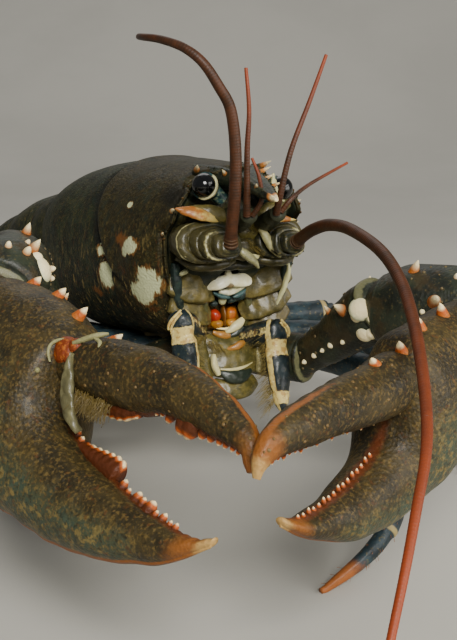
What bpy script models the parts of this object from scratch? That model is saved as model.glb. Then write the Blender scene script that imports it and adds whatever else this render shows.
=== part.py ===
"""European lobster, life size, standing on its legs and tail fan with both claws raised in front.

Lengths in the tables are millimetres. The animal faces -Y, its left side is +X and the floor is z = 0.
"""
import math
import random

import bmesh
import bpy
from mathutils import Matrix, Vector

# driving dimensions, millimetres and degrees
EYE_HEIGHT = 112.0
EYE_SPACING = 27.0
BODY_PITCH = 11.0
JOINT_GAP = 0.3
FLOOR_SINK = 1.0
EYE_RADIUS = 4.3
STALK_RADIUS = 3.1
EYE_JOINT = 1.6
FLAGELLUM_RADIUS = 2.1
# spines: how deep the root lies under the skin, the width left at the tip, thickness for a length
SPINE_SINK = 1.4
SPINE_TIP = 0.22
SPINE_SPREAD = 0.42
ARM_SPINE_SPREAD = 0.40
MARGIN_SPINE_RADIUS = 1.6
TOOTH_BLUNT = 0.75
# the cut at a joint stands this much further back after the spines are on
SPINE_TRIM = 0.05
# least share by which a grown corner is moved, where faces meet sharply
MITRE = 0.5
# tubes run this far past a joint before they are cut there
ARM_OVERRUN = 10.0
LEG_OVERRUN = 7.0
PALP_OVERRUN = 6.0
# the straight search outward for the skin starts this far from a claw's or an arm's middle line
CLAW_REACH = 40.0
ARM_REACH = 30.0
SCALE = 0.001
SEED = 11
SIDE = Vector((1.0, 0.0, 0.0))
LIFT = Vector((0.0, 0.0, 1.0))
FLOOR = Vector((0.0, 0.0, 0.0))
WHIP_SIDE = Vector((1.0, 0.1, 0.0))

# body shell: back from the eyes, half width, top, widest level, bottom
CARAPACE = (
    (6.0, 23.6, 6.0, -15.0, -41.0),
    (12.0, 25.8, 8.6, -15.0, -44.5),
    (26.0, 28.6, 11.0, -15.0, -48.5),
    (40.0, 30.6, 13.0, -14.0, -49.5),
    (54.0, 32.0, 14.4, -14.0, -49.5),
    (62.0, 32.2, 14.6, -14.0, -49.5),
    (66.0, 30.8, 13.2, -14.0, -49.5),
    (70.0, 33.0, 14.8, -14.0, -49.5),
    (84.0, 36.0, 15.8, -13.0, -49.5),
    (98.0, 37.6, 15.8, -12.0, -49.5),
    (110.0, 36.6, 14.6, -12.0, -47.0),
    (118.0, 32.5, 11.2, -14.0, -43.0),
    (120.0, 31.0, 9.8, -14.0, -41.0),
)
# the groove over the back, how far its lower end leans forward, and over what height and length
GROOVE_BACK = 66.0
GROOVE_LEAN = 22.0
GROOVE_TOP = 14.0
LEAN_DEPTH = 36.0
REAR_LENGTH = 54.0
# how far the lower front edge stands behind the upper one, and how far back that lean reaches
CHEEK_LEAN = 14.0
CHEEK_REACH = 34.0
# hollow under the front of the shell where the mouth lies: back, half width, top, bottom
MOUTH_HOLLOW = (
    (0.0, 19.4, -14.0, -70.0),
    (18.0, 18.6, -19.0, -70.0),
    (30.0, 15.0, -27.0, -70.0),
    (44.0, 10.0, -40.0, -70.0),
)
# beak between the eyes: back, across, up, half width, half thickness
ROSTRUM = (
    (20.0, 0.0, 4.5, 11.5, 5.0),
    (6.0, 0.0, 3.8, 9.4, 4.2),
    (-4.0, -0.3, 2.2, 6.4, 3.2),
    (-14.0, -1.2, -0.6, 4.4, 2.5),
    (-24.0, -2.8, -3.6, 2.6, 1.7),
    (-31.5, -4.4, -5.4, 0.6, 0.6),
)
# the beak's front half leans this far to the right
BEAK_LEAN = -1.6
# across, back, up, then the direction it points and its length
ROSTRUM_SPINES = (
    ((6.6, -2.0, 4.6), (0.6, -0.8, 0.35), 3.8),
    ((4.6, -11.0, 1.8), (0.6, -0.9, 0.35), 3.6),
    ((3.0, -19.5, -0.8), (0.5, -1.0, 0.3), 3.2),
    ((12.0, 8.0, 6.0), (0.35, -1.0, 0.3), 4.4),
    ((20.5, 8.0, -6.0), (0.35, -1.0, 0.1), 6.0),
    ((24.0, 16.0, -9.0), (0.45, -1.0, 0.1), 4.0),
)

# block that carries the feelers and the mouth: back, half width, top, bottom
FACE = (
    (40.0, 8.6, -36.0, -43.0),
    (30.0, 12.6, -24.0, -41.5),
    (22.0, 17.0, -16.0, -37.5),
    (16.0, 20.6, -8.0, -32.0),
    (9.0, 21.8, -6.5, -26.5),
    (2.0, 20.4, -7.5, -22.0),
    (-4.0, 16.0, -9.5, -19.5),
    (-7.4, 10.5, -12.0, -18.0),
)
# jaws: back, half width, half height
MANDIBLE = (
    (36.0, 5.0, 4.0),
    (31.0, 7.6, 5.0),
    (26.0, 8.0, 5.4),
    (22.6, 6.2, 4.4),
    (20.4, 2.6, 2.4),
)
MANDIBLE_LEVEL = -46.0
# breast plate between the legs: back, half width, bottom
STERNUM = (
    (27.0, 7.0, -55.0),
    (40.0, 9.6, -58.0),
    (60.0, 13.5, -58.5),
    (80.0, 16.0, -58.0),
    (98.0, 17.5, -56.5),
    (104.0, 13.0, -52.5),
)
STERNUM_TOP = -38.0

# tail: joint places from the body shell to the tail fan, half width, height above and below the line
TAIL_PATH = (
    (-0.5, 115.2, 76.5, 30.0, 21.0, 20.0),
    (-4.0, 138.6, 72.8, 30.0, 20.8, 20.0),
    (-10.0, 161.4, 64.6, 29.2, 19.8, 19.4),
    (-18.4, 182.6, 52.6, 28.0, 18.4, 18.4),
    (-29.0, 202.6, 38.8, 26.4, 17.0, 17.0),
    (-41.0, 221.4, 25.0, 24.4, 15.0, 14.8),
    (-54.0, 239.6, 13.4, 21.0, 10.0, 9.2),
)
SOMITE_BULGE = 1.05

# tail fan: name, turn from straight back, root shift across, length, half widths
FAN = (
    ("telson", 0.0, 0.0, 44.0, (9.0, 14.0, 15.0, 12.0)),
    ("uropod_inner_right", -27.0, -12.0, 46.0, (5.0, 11.0, 13.0, 9.0)),
    ("uropod_inner_left", 27.0, 12.0, 46.0, (5.0, 11.0, 13.0, 9.0)),
    ("uropod_outer_right", -58.0, -17.0, 46.0, (4.5, 10.0, 13.0, 9.0)),
    ("uropod_outer_left", 58.0, 17.0, 46.0, (4.5, 10.0, 13.0, 9.0)),
)
FAN_SHARES = (0.0, 0.14, 0.42, 0.72, 0.92, 1.0)
FAN_THICK = 1.5
FAN_ROOT_SINK = 4.0
FAN_LOW = 0.4

# walking legs: root on the breast plate, knee, ankle, foot, each as x, y, z
LEGS = {
    "leg_2_left": ((9.0, 41.0, 47.0), (46.0, -20.0, 48.0), (22.0, -60.0, 17.0), (-6.0, -65.0, 0.0)),
    "leg_3_left": ((10.0, 54.0, 45.5), (64.0, 24.0, 48.0), (84.0, 3.0, 22.0), (90.0, -14.0, 0.0)),
    "leg_4_left": ((11.0, 67.0, 43.0), (69.0, 60.0, 49.0), (92.0, 58.0, 24.0), (101.0, 56.0, 0.0)),
    "leg_5_left": ((12.0, 80.0, 40.5), (62.0, 107.0, 46.0), (80.0, 128.0, 22.0), (86.0, 142.0, 0.0)),
    "leg_2_right": ((-9.0, 41.0, 47.0), (-62.0, 54.0, 46.0), (-72.0, 34.0, 20.0), (-64.0, 16.0, 0.0)),
    "leg_3_right": ((-10.0, 54.0, 45.5), (-66.0, 70.0, 48.0), (-88.0, 62.0, 22.0), (-97.0, 50.0, 0.0)),
    "leg_4_right": ((-11.0, 67.0, 43.0), (-66.0, 90.0, 48.0), (-88.0, 94.0, 24.0), (-97.0, 92.0, 0.0)),
    "leg_5_right": ((-12.0, 80.0, 40.5), (-58.0, 114.0, 44.0), (-74.0, 138.0, 22.0), (-80.0, 154.0, 0.0)),
}
# share of the length, half width, half thickness
LEG_UPPER = ((0.0, 5.6, 5.6), (0.25, 5.4, 5.0), (0.45, 4.4, 4.4), (0.62, 5.4, 4.6), (1.0, 4.8, 4.4))
LEG_LOWER = (
    (0.0, 4.8, 4.4), (0.18, 4.4, 4.0), (0.30, 3.6, 3.3), (0.48, 4.0, 3.5), (0.66, 3.6, 3.2),
    (0.78, 2.5, 2.3), (1.0, 1.4, 1.4),
)
# upward bow of the upper length, and the legs that end in a small pincer with its thumb's length
LEG_RISE = 2.5
PINCERS = ("leg_2", "leg_3")
THUMB = 12.0

# claw arms: joint places x, y, z and the half width and half thickness of each length
ARM_RIGHT = ((-8.0, 26.0, 50.0), (-46.0, 24.0, 43.0), (-68.0, 30.0, 86.0), (-84.1, -7.2, 85.3))
ARM_LEFT = ((8.0, 26.0, 50.0), (23.0, -3.0, 52.0), (31.0, -36.0, 77.0), (54.1, -66.0, 75.6))
ARM_LENGTHS = (
    ("ischium", ((0.0, 8.6, 6.6), (0.5, 8.0, 7.0), (1.0, 8.4, 7.6))),
    ("merus", ((0.0, 5.8, 5.6), (0.4, 7.6, 6.8), (0.8, 9.8, 8.6), (1.0, 9.6, 8.6))),
    ("carpus", ((0.0, 10.6, 9.6), (0.3, 15.0, 12.6), (0.7, 16.0, 13.2), (1.0, 9.6, 9.0))),
)
# part, share of its length, angle round it in degrees, length
ARM_SPINES = (
    ("merus", 0.82, 35.0, 5.0), ("merus", 0.86, 130.0, 4.4), ("merus", 0.62, 60.0, 3.0),
    ("carpus", 0.30, 80.0, 4.2), ("carpus", 0.55, 40.0, 5.2), ("carpus", 0.72, 95.0, 4.6),
    ("carpus", 0.80, 150.0, 4.4), ("carpus", 0.62, 10.0, 4.4),
)

# claws, in a plane; palm: along from the wrist, lower edge, upper edge, half thickness;
# finger: along, middle, half width, half thickness; teeth: along, height, radius; spines: along, height
CRUSHER = {
    "wrist": (-84.1, -7.2, 85.3),
    "along": (0.158, -0.949, -0.273),
    "across": (0.525, -0.153, 0.837),
    "palm": (
        (-10.0, -8.5, 7.5, 8.5), (1.0, -9.0, 8.0, 9.0), (8.0, -17.0, 10.5, 12.5),
        (20.0, -28.0, 14.0, 15.5), (34.0, -35.0, 15.0, 16.5), (45.0, -37.4, 12.5, 16.0),
        (51.0, -37.2, 0.0, 14.5), (57.0, -36.2, -7.0, 13.0), (68.0, -33.8, -9.2, 11.0),
        (82.0, -29.0, -8.8, 9.0), (96.0, -21.8, -7.2, 6.8), (107.0, -13.8, -5.0, 4.4),
        (113.0, -7.4, -2.6, 2.8), (116.8, -1.8, 0.8, 1.1),
    ),
    "finger": (
        (43.0, 4.0, 7.0, 7.0), (50.0, 6.3, 7.9, 8.2), (60.0, 10.4, 8.6, 8.2), (67.0, 13.2, 8.6, 8.0),
        (74.0, 16.0, 8.2, 7.4), (81.0, 18.8, 6.9, 6.6), (90.0, 20.6, 6.2, 5.6), (103.0, 21.9, 4.3, 4.0),
        (110.0, 21.2, 2.8, 2.7), (114.6, 16.8, 0.8, 0.8),
    ),
    "palm_teeth": (
        (60.0, 2.0, 1.5), (63.6, 2.2, 1.5), (67.4, 2.2, 1.6), (75.0, 4.6, 4.2), (80.0, 5.2, 3.2),
        (86.6, 2.6, 2.0), (91.0, 2.6, 1.6), (95.2, 3.0, 2.0), (100.0, 2.4, 1.5), (103.6, 1.6, 1.1),
    ),
    "finger_teeth": (
        (66.6, 2.2, 2.2), (70.4, 2.8, 2.6), (74.8, 2.6, 2.4), (80.4, 1.4, 1.3), (85.2, 2.2, 1.7),
        (91.0, 3.8, 3.4), (96.4, 2.2, 1.6), (99.6, 2.0, 1.4), (102.8, 1.8, 1.3), (105.8, 1.6, 1.1),
    ),
    "margin_spines": ((14.0, 2.6), (26.0, 3.0), (38.0, 3.4)),
    "finger_spines": ((53.0, 4.0),),
}
CUTTER = {
    "wrist": (54.1, -66.0, 75.6),
    "along": (-0.876, -0.450, -0.174),
    "across": (-0.155, -0.079, 0.985),
    "palm": (
        (-12.0, -7.5, 7.5, 8.0), (1.0, -8.0, 8.0, 8.4), (8.0, -13.5, 11.5, 11.0),
        (20.0, -19.5, 16.0, 13.0), (35.0, -23.5, 19.0, 14.0), (50.0, -25.0, 21.0, 14.0),
        (60.0, -25.4, 21.0, 13.4), (66.5, -25.4, 14.0, 12.0), (72.0, -25.0, 1.0, 10.6),
        (79.0, -24.0, -4.0, 9.4), (92.0, -20.4, -5.4, 7.4), (104.0, -13.4, -4.8, 5.2),
        (112.0, -7.6, -3.0, 3.4), (118.8, -0.6, 1.2, 1.0),
    ),
    "finger": (
        (59.0, 10.0, 7.0, 7.0), (68.0, 11.6, 8.0, 7.6), (77.0, 12.8, 7.2, 7.0), (92.0, 16.6, 6.4, 5.8),
        (107.0, 19.4, 5.4, 4.6), (117.0, 20.8, 4.2, 3.4), (123.0, 19.2, 2.5, 2.2), (125.8, 15.4, 0.8, 0.8),
    ),
    "palm_teeth": tuple((79.0 + 4.4 * step, 1.5 + 0.5 * (step % 3 == 1), 1.1) for step in range(8)),
    "finger_teeth": tuple((80.0 + 4.4 * step, 1.5 + 0.5 * (step % 3 == 1), 1.1) for step in range(9)),
    "margin_spines": ((14.0, 3.0), (27.0, 3.6), (40.0, 3.6), (53.0, 3.4), (63.0, 3.0)),
    "finger_spines": ((74.0, 2.4),),
}

# flat scale beside each feeler's stem: root, then tip
SCALES = {
    "right": ((-11.0, -7.0, 101.0), (-26.0, -4.5, 107.0)),
    "left": ((5.6, -8.0, 98.6), (14.4, -11.4, 103.4)),
}
# share of the scale's length, half width, half thickness
SCALE_FORM = ((0.0, 3.0, 1.8), (0.45, 3.2, 1.5), (0.8, 1.9, 1.0), (1.0, 0.5, 0.5))
# a whip is this much thicker at its root, and loses this share of its radius by its tip
ROOT_SWELL = 1.35
TAPER = {"right": 0.8, "left": 0.6}
# stem of a feeler: distance before the whip, radius
STEM = ((17.0, 7.6), (11.0, 8.0), (7.0, 7.8), (6.4, 6.2), (3.0, 6.0), (2.4, 4.8), (0.0, 4.4))
STEM_TIP = 2.4
STEM_JOINT = 1.2
# feelers: points x, y, z, divided in lengths where a point repeats
ANTENNA_RIGHT = (
    ((-12.6, -17.6, 97.0), (-13.4, -20.0, 103.0), (-13.6, -22.6, 114.0), (-13.9, -23.6, 127.0),
     (-15.6, -23.8, 138.8), (-19.2, -23.4, 145.6)),
    ((-19.2, -23.4, 145.6), (-23.4, -21.4, 152.4), (-27.6, -17.1, 156.6), (-31.6, -9.6, 158.8),
     (-33.2, 0.7, 159.4), (-26.4, 20.9, 159.2)),
    ((-26.4, 20.9, 159.2), (-8.8, 64.2, 158.5), (10.3, 112.3, 157.9), (29.3, 160.5, 157.2)),
)
ANTENNA_LEFT = (
    ((10.6, -17.6, 96.0), (10.0, -23.0, 99.0), (9.2, -31.0, 102.6), (8.8, -41.0, 105.6),
     (7.8, -54.0, 106.4), (4.8, -73.7, 104.3)),
    ((4.8, -73.7, 104.3), (0.8, -89.3, 99.7), (-5.3, -104.3, 93.3), (-12.8, -119.1, 85.8),
     (-20.0, -131.5, 78.7)),
    ((-20.0, -131.5, 78.7), (-25.9, -139.5, 73.2), (-33.1, -147.1, 66.7), (-41.0, -155.0, 58.0),
     (-50.0, -163.0, 46.0), (-60.0, -172.0, 32.0)),
)
# small feelers: root and tip of the stem, then the points of its two whips
ANTENNULES = {
    "antennule_right": (
        (-4.6, -9.0, 102.5), (-6.4, -18.0, 106.0),
        ((-7.4, -18.4, 106.0), (-8.2, -20.0, 114.0), (-8.4, -20.4, 126.5), (-7.4, -19.6, 138.3),
         (-7.3, -17.2, 150.5)),
        ((-5.6, -18.6, 106.0), (-3.6, -20.8, 111.0), (-4.4, -20.7, 118.0), (-6.0, -18.9, 123.8)),
    ),
    "antennule_left": (
        (4.6, -9.0, 102.0), (3.4, -18.6, 106.0),
        ((2.6, -19.0, 106.0), (2.6, -21.7, 113.0), (6.0, -21.8, 125.9), (13.4, -19.9, 140.6),
         (20.5, -17.1, 153.9)),
        ((4.4, -18.6, 106.4), (8.0, -19.6, 110.8), (16.0, -16.4, 114.2), (32.7, -11.4, 119.4)),
    ),
}
ANTENNULE_STEM = ((0.0, 2.9, 2.7), (0.5, 3.0, 2.8), (1.0, 2.5, 2.4))
ANTENNULE_SINK = 5.0
ANTENNULE_RADII = (1.15, 0.9)
ANTENNULE_TAPER = 0.55
# jaw legs: root, knee, tip
MAXILLIPEDS = {
    "maxilliped_right": ((-4.5, 20.0, 54.0), (-17.5, 6.0, 62.5), (-17.0, -2.0, 44.0)),
    "maxilliped_left": ((4.5, 20.0, 54.0), (11.0, 1.0, 62.0), (8.6, -10.0, 37.0)),
}

PALP_UPPER = ((0.0, 3.6, 3.4), (0.5, 4.4, 3.8), (1.0, 4.4, 3.8))
PALP_LOWER = ((0.0, 4.2, 3.6), (0.45, 3.8, 3.2), (0.8, 2.8, 2.4), (1.0, 1.0, 1.0))
# side plates and swimming legs under the tail: length, radius, bluntness
PLEURON = (8.0, 4.2, 0.7)
SWIMMERET = (11.0, 3.0, 0.9)

COLOURS = {
    "carapace": (0.030, 0.026, 0.010), "face": (0.30, 0.25, 0.09), "eye": (0.004, 0.004, 0.004),
    "feeler": (0.16, 0.035, 0.012), "claw": (0.070, 0.045, 0.014), "leg": (0.035, 0.075, 0.090),
    "tail": (0.030, 0.028, 0.012), "mouth": (0.55, 0.10, 0.020), "under": (0.36, 0.28, 0.12),
}

dice = random.Random(SEED)
uncut = {}


def clear_scene():
    for item in list(bpy.data.objects):
        bpy.data.objects.remove(item, do_unlink=True)


def new_collection(name):
    group = bpy.data.collections.new(name)
    bpy.context.scene.collection.children.link(group)
    return group


def body_place(across, back, up):
    """World place of a point given along the body's own axes from between the eyes."""
    pitch = math.radians(BODY_PITCH)
    return Vector((
        across,
        back * math.cos(pitch) + up * math.sin(pitch),
        EYE_HEIGHT - back * math.sin(pitch) + up * math.cos(pitch),
    ))


def body_turn(across, back, up):
    """World direction of a direction given along the body's own axes."""
    return (body_place(across, back, up) - body_place(0.0, 0.0, 0.0)).normalized()


def blend(before, start, end, after, share):
    """Catmull-Rom blend of four numbers."""
    return 0.5 * (
        2.0 * start + (end - before) * share
        + (2.0 * before - 5.0 * start + 4.0 * end - after) * share ** 2
        + (3.0 * start - before - 3.0 * end + after) * share ** 3
    )


def smooth(rows, steps):
    """Rows of numbers with smoothly blended rows put between them."""
    rows = [tuple(row) for row in rows]
    result = []
    for index in range(len(rows) - 1):
        before = rows[max(index - 1, 0)]
        after = rows[min(index + 2, len(rows) - 1)]
        numbers = list(zip(before, rows[index], rows[index + 1], after))
        for step in range(steps):
            result.append(tuple(blend(*four, step / steps) for four in numbers))
    result.append(rows[-1])
    return result


def oval(centre, side, lift, width, top, bottom, sides, power=2.0, low_power=None):
    """Closed ring of points; the upper and the lower half may differ in height and squareness."""
    ring = []
    for index in range(sides):
        angle = 2.0 * math.pi * (index + 0.5) / sides
        across, up = math.cos(angle), math.sin(angle)
        bend = 2.0 / (power if up > 0.0 or low_power is None else low_power)
        reach = top if up > 0.0 else bottom
        ring.append(
            centre
            + side * (width * math.copysign(abs(across) ** bend, across))
            + lift * (reach * math.copysign(abs(up) ** bend, up))
        )
    return ring


def material_for(name, colour):
    skin = bpy.data.materials.new(name + "_skin")
    skin.use_nodes = True
    surface = skin.node_tree.nodes["Principled BSDF"]
    surface.inputs["Base Color"].default_value = (*colour, 1.0)
    surface.inputs["Roughness"].default_value = 0.42
    return skin


def solid(name, rings, group, colour=None):
    """Closed body through a row of rings, with a face over each end."""
    mesh = bpy.data.meshes.new(name)
    shape = bmesh.new()
    rows = [[shape.verts.new(point * SCALE) for point in ring] for ring in rings]
    for first, second in zip(rows, rows[1:]):
        count = len(first)
        for index in range(count):
            follow = (index + 1) % count
            shape.faces.new((first[index], first[follow], second[follow], second[index]))
    shape.faces.new(rows[0][::-1])
    shape.faces.new(rows[-1])
    bmesh.ops.recalc_face_normals(shape, faces=shape.faces[:])
    shape.to_mesh(mesh)
    shape.free()
    item = bpy.data.objects.new(name, mesh)
    group.objects.link(item)
    if colour is not None:
        uncut[name] = [mesh.copy()]
        mesh.materials.append(material_for(name, COLOURS[colour]))
    return item


def frames(points, side):
    """Side and lift direction at each point of a line, kept near the given side direction."""
    result = []
    last = len(points) - 1
    for index, _ in enumerate(points):
        ahead = (points[min(index + 1, last)] - points[max(index - 1, 0)]).normalized()
        across = (side - ahead * side.dot(ahead)).normalized()
        result.append((across, across.cross(ahead).normalized()))
    return result


def tube(name, rows, side, sides, group, colour=None, power=2.0):
    """Closed body along a line; each row is x, y, z, half width, half thickness."""
    points = [Vector(row[:3]) for row in rows]
    rings = []
    for point, row, (across, lift) in zip(points, rows, frames(points, side)):
        rings.append(oval(point, across, lift, row[3], row[4], row[4], sides, power))
    return solid(name, rings, group, colour)


def apply_modifiers(item):
    graph = bpy.context.evaluated_depsgraph_get()
    mesh = bpy.data.meshes.new_from_object(item.evaluated_get(graph))
    item.modifiers.clear()
    item.data = mesh


def held(piece):
    """Space inside the closed surface whose corners are given."""
    faces = {face for vert in piece for face in vert.link_faces}
    return sum(face.verts[0].co.dot(face.verts[1].co.cross(face.verts[2].co)) for face in faces) / 6.0


def keep_largest(item):
    """Leaves only the closed surface of a body that holds the most."""
    shape = bmesh.new()
    shape.from_mesh(item.data)
    bmesh.ops.triangulate(shape, faces=shape.faces[:])
    waiting = set(shape.verts)
    pieces = []
    while waiting:
        start = waiting.pop()
        piece = [start]
        reached = [start]
        while reached:
            for edge in reached.pop().link_edges:
                for vert in edge.verts:
                    if vert in waiting:
                        waiting.discard(vert)
                        reached.append(vert)
                        piece.append(vert)
        pieces.append(piece)
    if len(pieces) > 1:
        pieces.sort(key=held)
        bmesh.ops.delete(shape, geom=[vert for piece in pieces[:-1] for vert in piece], context="VERTS")
    shape.to_mesh(item.data)
    shape.free()


def trim(item, place, normal):
    """Cuts a body at a plane, drops what lies ahead of the normal and closes the cut."""
    shape = bmesh.new()
    shape.from_mesh(item.data)
    everything = shape.verts[:] + shape.edges[:] + shape.faces[:]
    result = bmesh.ops.bisect_plane(
        shape, geom=everything, plane_co=place * SCALE, plane_no=normal, clear_outer=True, dist=1e-7)
    rim = [piece for piece in result["geom_cut"] if isinstance(piece, bmesh.types.BMEdge)]
    bmesh.ops.edgeloop_fill(shape, edges=rim)
    bmesh.ops.recalc_face_normals(shape, faces=shape.faces[:])
    shape.to_mesh(item.data)
    shape.free()


def clearance(source, gap, group):
    """Copy of a body's mesh grown by a gap on every side."""
    mesh = source.copy()
    shape = bmesh.new()
    shape.from_mesh(mesh)
    bmesh.ops.triangulate(shape, faces=shape.faces[:])
    shape.normal_update()
    moves = {}
    for vert in shape.verts:
        normals = [face.normal for face in vert.link_faces]
        push = sum(normals, Vector()).normalized()
        closest = min(push.dot(normal) for normal in normals)
        moves[vert] = push * (gap * SCALE / max(closest, MITRE))
    for vert, move in moves.items():
        vert.co += move
    shape.to_mesh(mesh)
    shape.free()
    copy = bpy.data.objects.new("clearance", mesh)
    copy.display_type = "WIRE"
    copy.hide_render = True
    group.objects.link(copy)
    return copy


def combine(item, other, operation):
    change = item.modifiers.new("change", "BOOLEAN")
    change.operation = operation
    change.solver = "EXACT"
    if isinstance(other, bpy.types.Collection):
        change.operand_type = "COLLECTION"
        change.collection = other
    else:
        change.object = other
    apply_modifiers(item)


def carve(item, others, group):
    """Cuts the neighbours as first built, grown by the joint gap, out of a body."""
    for other in others:
        for source in uncut[other.name]:
            tool = clearance(source, JOINT_GAP, group)
            combine(item, tool, "DIFFERENCE")
            bpy.data.objects.remove(tool, do_unlink=True)
    keep_largest(item)


def spine_rings(place, direction, length, radius, sides, blunt=0.0):
    """Rings of a spine that starts under the skin at a place and points along a direction."""
    ahead = direction.normalized()
    helper = LIFT if abs(ahead.z) < 0.8 else SIDE
    across = ahead.cross(helper).normalized()
    lift = across.cross(ahead)
    rings = [oval(place - ahead * SPINE_SINK, across, lift, radius, radius, radius, sides)]
    if blunt > 0.0:
        wide = radius * blunt
        rings.append(oval(place + ahead * length * 0.6, across, lift, wide, wide, wide, sides))
    rings.append(oval(place + ahead * length, across, lift, SPINE_TIP, SPINE_TIP, SPINE_TIP, sides))
    return rings


def grow(item, spines, group):
    """Joins spines to a body; each spine is a place, a direction, a length, a radius and a bluntness."""
    if not spines:
        return
    bunch = bpy.data.collections.new(item.name + "_bunch")
    group.children.link(bunch)
    for index, (place, direction, length, radius, blunt) in enumerate(spines):
        rings = spine_rings(place, direction, length, radius, 5, blunt)
        piece = solid(f"{item.name}_spine_{index}", rings, bunch)
        piece.display_type = "WIRE"
        piece.hide_render = True
    combine(item, bunch, "UNION")
    for piece in list(bunch.objects):
        uncut[item.name].append(piece.data.copy())
        bpy.data.objects.remove(piece, do_unlink=True)
    bpy.data.collections.remove(bunch)
    keep_largest(item)


def nearest_skin(item, place):
    """Place on a body's surface nearest to a place, with its outward direction."""
    _, spot, normal, _ = item.closest_point_on_mesh(place * SCALE)
    return spot / SCALE, normal


def edge_shift(back, up):
    """How far a point of a ring leans forward along the groove, or backward along the front edge."""
    length = GROOVE_BACK if back < GROOVE_BACK else REAR_LENGTH
    near = max(1.0 - abs(back - GROOVE_BACK) / length, 0.0)
    lean = -GROOVE_LEAN * near * min(max((GROOVE_TOP - up) / LEAN_DEPTH, 0.0), 1.0)
    front = max(1.0 - (back - CARAPACE[0][0]) / CHEEK_REACH, 0.0)
    depth = (CARAPACE[0][2] - up) / (CARAPACE[0][2] - CARAPACE[0][4])
    return lean + CHEEK_LEAN * front * min(max(depth, 0.0), 1.0)


def carapace_ring(row, sides):
    back, width, top, middle, bottom = row
    centre = Vector((0.0, back, middle))
    flat = oval(centre, SIDE, LIFT, width, top - middle, middle - bottom, sides, 2.1, 2.7)
    return [body_place(point.x, point.y + edge_shift(point.y, point.z), point.z) for point in flat]


def grow_head_spines(shell, tools):
    spines = []
    for (across, back, up), pointing, length in ROSTRUM_SPINES:
        for hand in (-1.0, 1.0):
            lean = BEAK_LEAN if back < -10.0 else 0.0
            spot, _ = nearest_skin(shell, body_place(hand * across + lean, back, up))
            outward = body_turn(hand * pointing[0], pointing[1], pointing[2])
            spines.append((spot, outward, length, SPINE_SPREAD * length ** 0.8, 0.0))
    grow(shell, spines, tools)


def box_rings(table, sides, power):
    """Rings across the body from rows of back, half width, top and bottom."""
    rings = []
    for back, width, top, bottom in table:
        middle = (top + bottom) / 2.0
        place = body_place(0.0, back, middle)
        rings.append(oval(
            place, SIDE, body_turn(0.0, 0.0, 1.0), width, top - middle, middle - bottom, sides, power))
    return rings


def build_carapace(parts, tools):
    shell = solid("carapace", [carapace_ring(row, 22) for row in CARAPACE], parts, "carapace")
    hollow = solid("hollow", box_rings(MOUTH_HOLLOW, 12, 3.0), tools)
    combine(shell, hollow, "DIFFERENCE")
    bpy.data.objects.remove(hollow, do_unlink=True)
    uncut["carapace"] = [shell.data.copy()]
    beak = []
    for back, across, up, width, thick in ROSTRUM:
        place = body_place(across, back, up)
        beak.append(oval(place, SIDE, body_turn(0.0, 0.0, 1.0), width, thick, thick, 8))
    front = solid("beak", beak, tools)
    uncut["carapace"].append(front.data.copy())
    combine(shell, front, "UNION")
    bpy.data.objects.remove(front, do_unlink=True)
    grow_head_spines(shell, tools)
    return shell


def build_head(parts, tools, shell):
    face = solid("epistome", box_rings(FACE, 14, 2.8), parts, "face")
    carve(face, (shell,), tools)
    rows = []
    for back, width, height in MANDIBLE:
        place = body_place(0.0, back, MANDIBLE_LEVEL)
        rows.append(oval(place, SIDE, body_turn(0.0, 0.0, 1.0), width, height, height, 10, 2.2))
    mouth = solid("mandibles", rows, parts, "mouth")
    carve(mouth, (face, shell), tools)
    rows = [(back, width, STERNUM_TOP, bottom) for back, width, bottom in STERNUM]
    breast = solid("sternum", box_rings(rows, 12, 3.4), parts, "under")
    carve(breast, (shell, mouth, face), tools)
    for hand, label in ((-1.0, "right"), (1.0, "left")):
        eye_place = body_place(hand * EYE_SPACING / 2.0, -1.0, -1.3 * hand)
        root = body_place(hand * 7.0, 1.5, -2.5)
        outward = (eye_place - root).normalized()
        middle = root.lerp(eye_place, 0.55)
        rows = [
            (*root, STALK_RADIUS * 0.8, STALK_RADIUS * 0.8),
            (*middle, STALK_RADIUS, STALK_RADIUS),
            (*(eye_place + outward * 1.0), STALK_RADIUS * 1.15, STALK_RADIUS * 1.15),
        ]
        stalk = tube(f"eyestalk_{label}", rows, LIFT, 10, parts, "face")
        joint = eye_place - outward * EYE_JOINT
        trim(stalk, joint - outward * (JOINT_GAP / 2.0), outward)
        carve(stalk, (shell, face), tools)
        rows = []
        for step in range(7):
            turn = math.pi * (step + 0.25) / 6.5
            radius = EYE_RADIUS * math.sin(turn)
            rows.append((*(eye_place - outward * EYE_RADIUS * math.cos(turn)), radius, radius))
        eye = tube(f"eye_{label}", rows, LIFT, 12, parts, "eye")
        trim(eye, joint + outward * (JOINT_GAP / 2.0), -outward)
        carve(eye, (shell, face), tools)
    return face, mouth, breast


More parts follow.
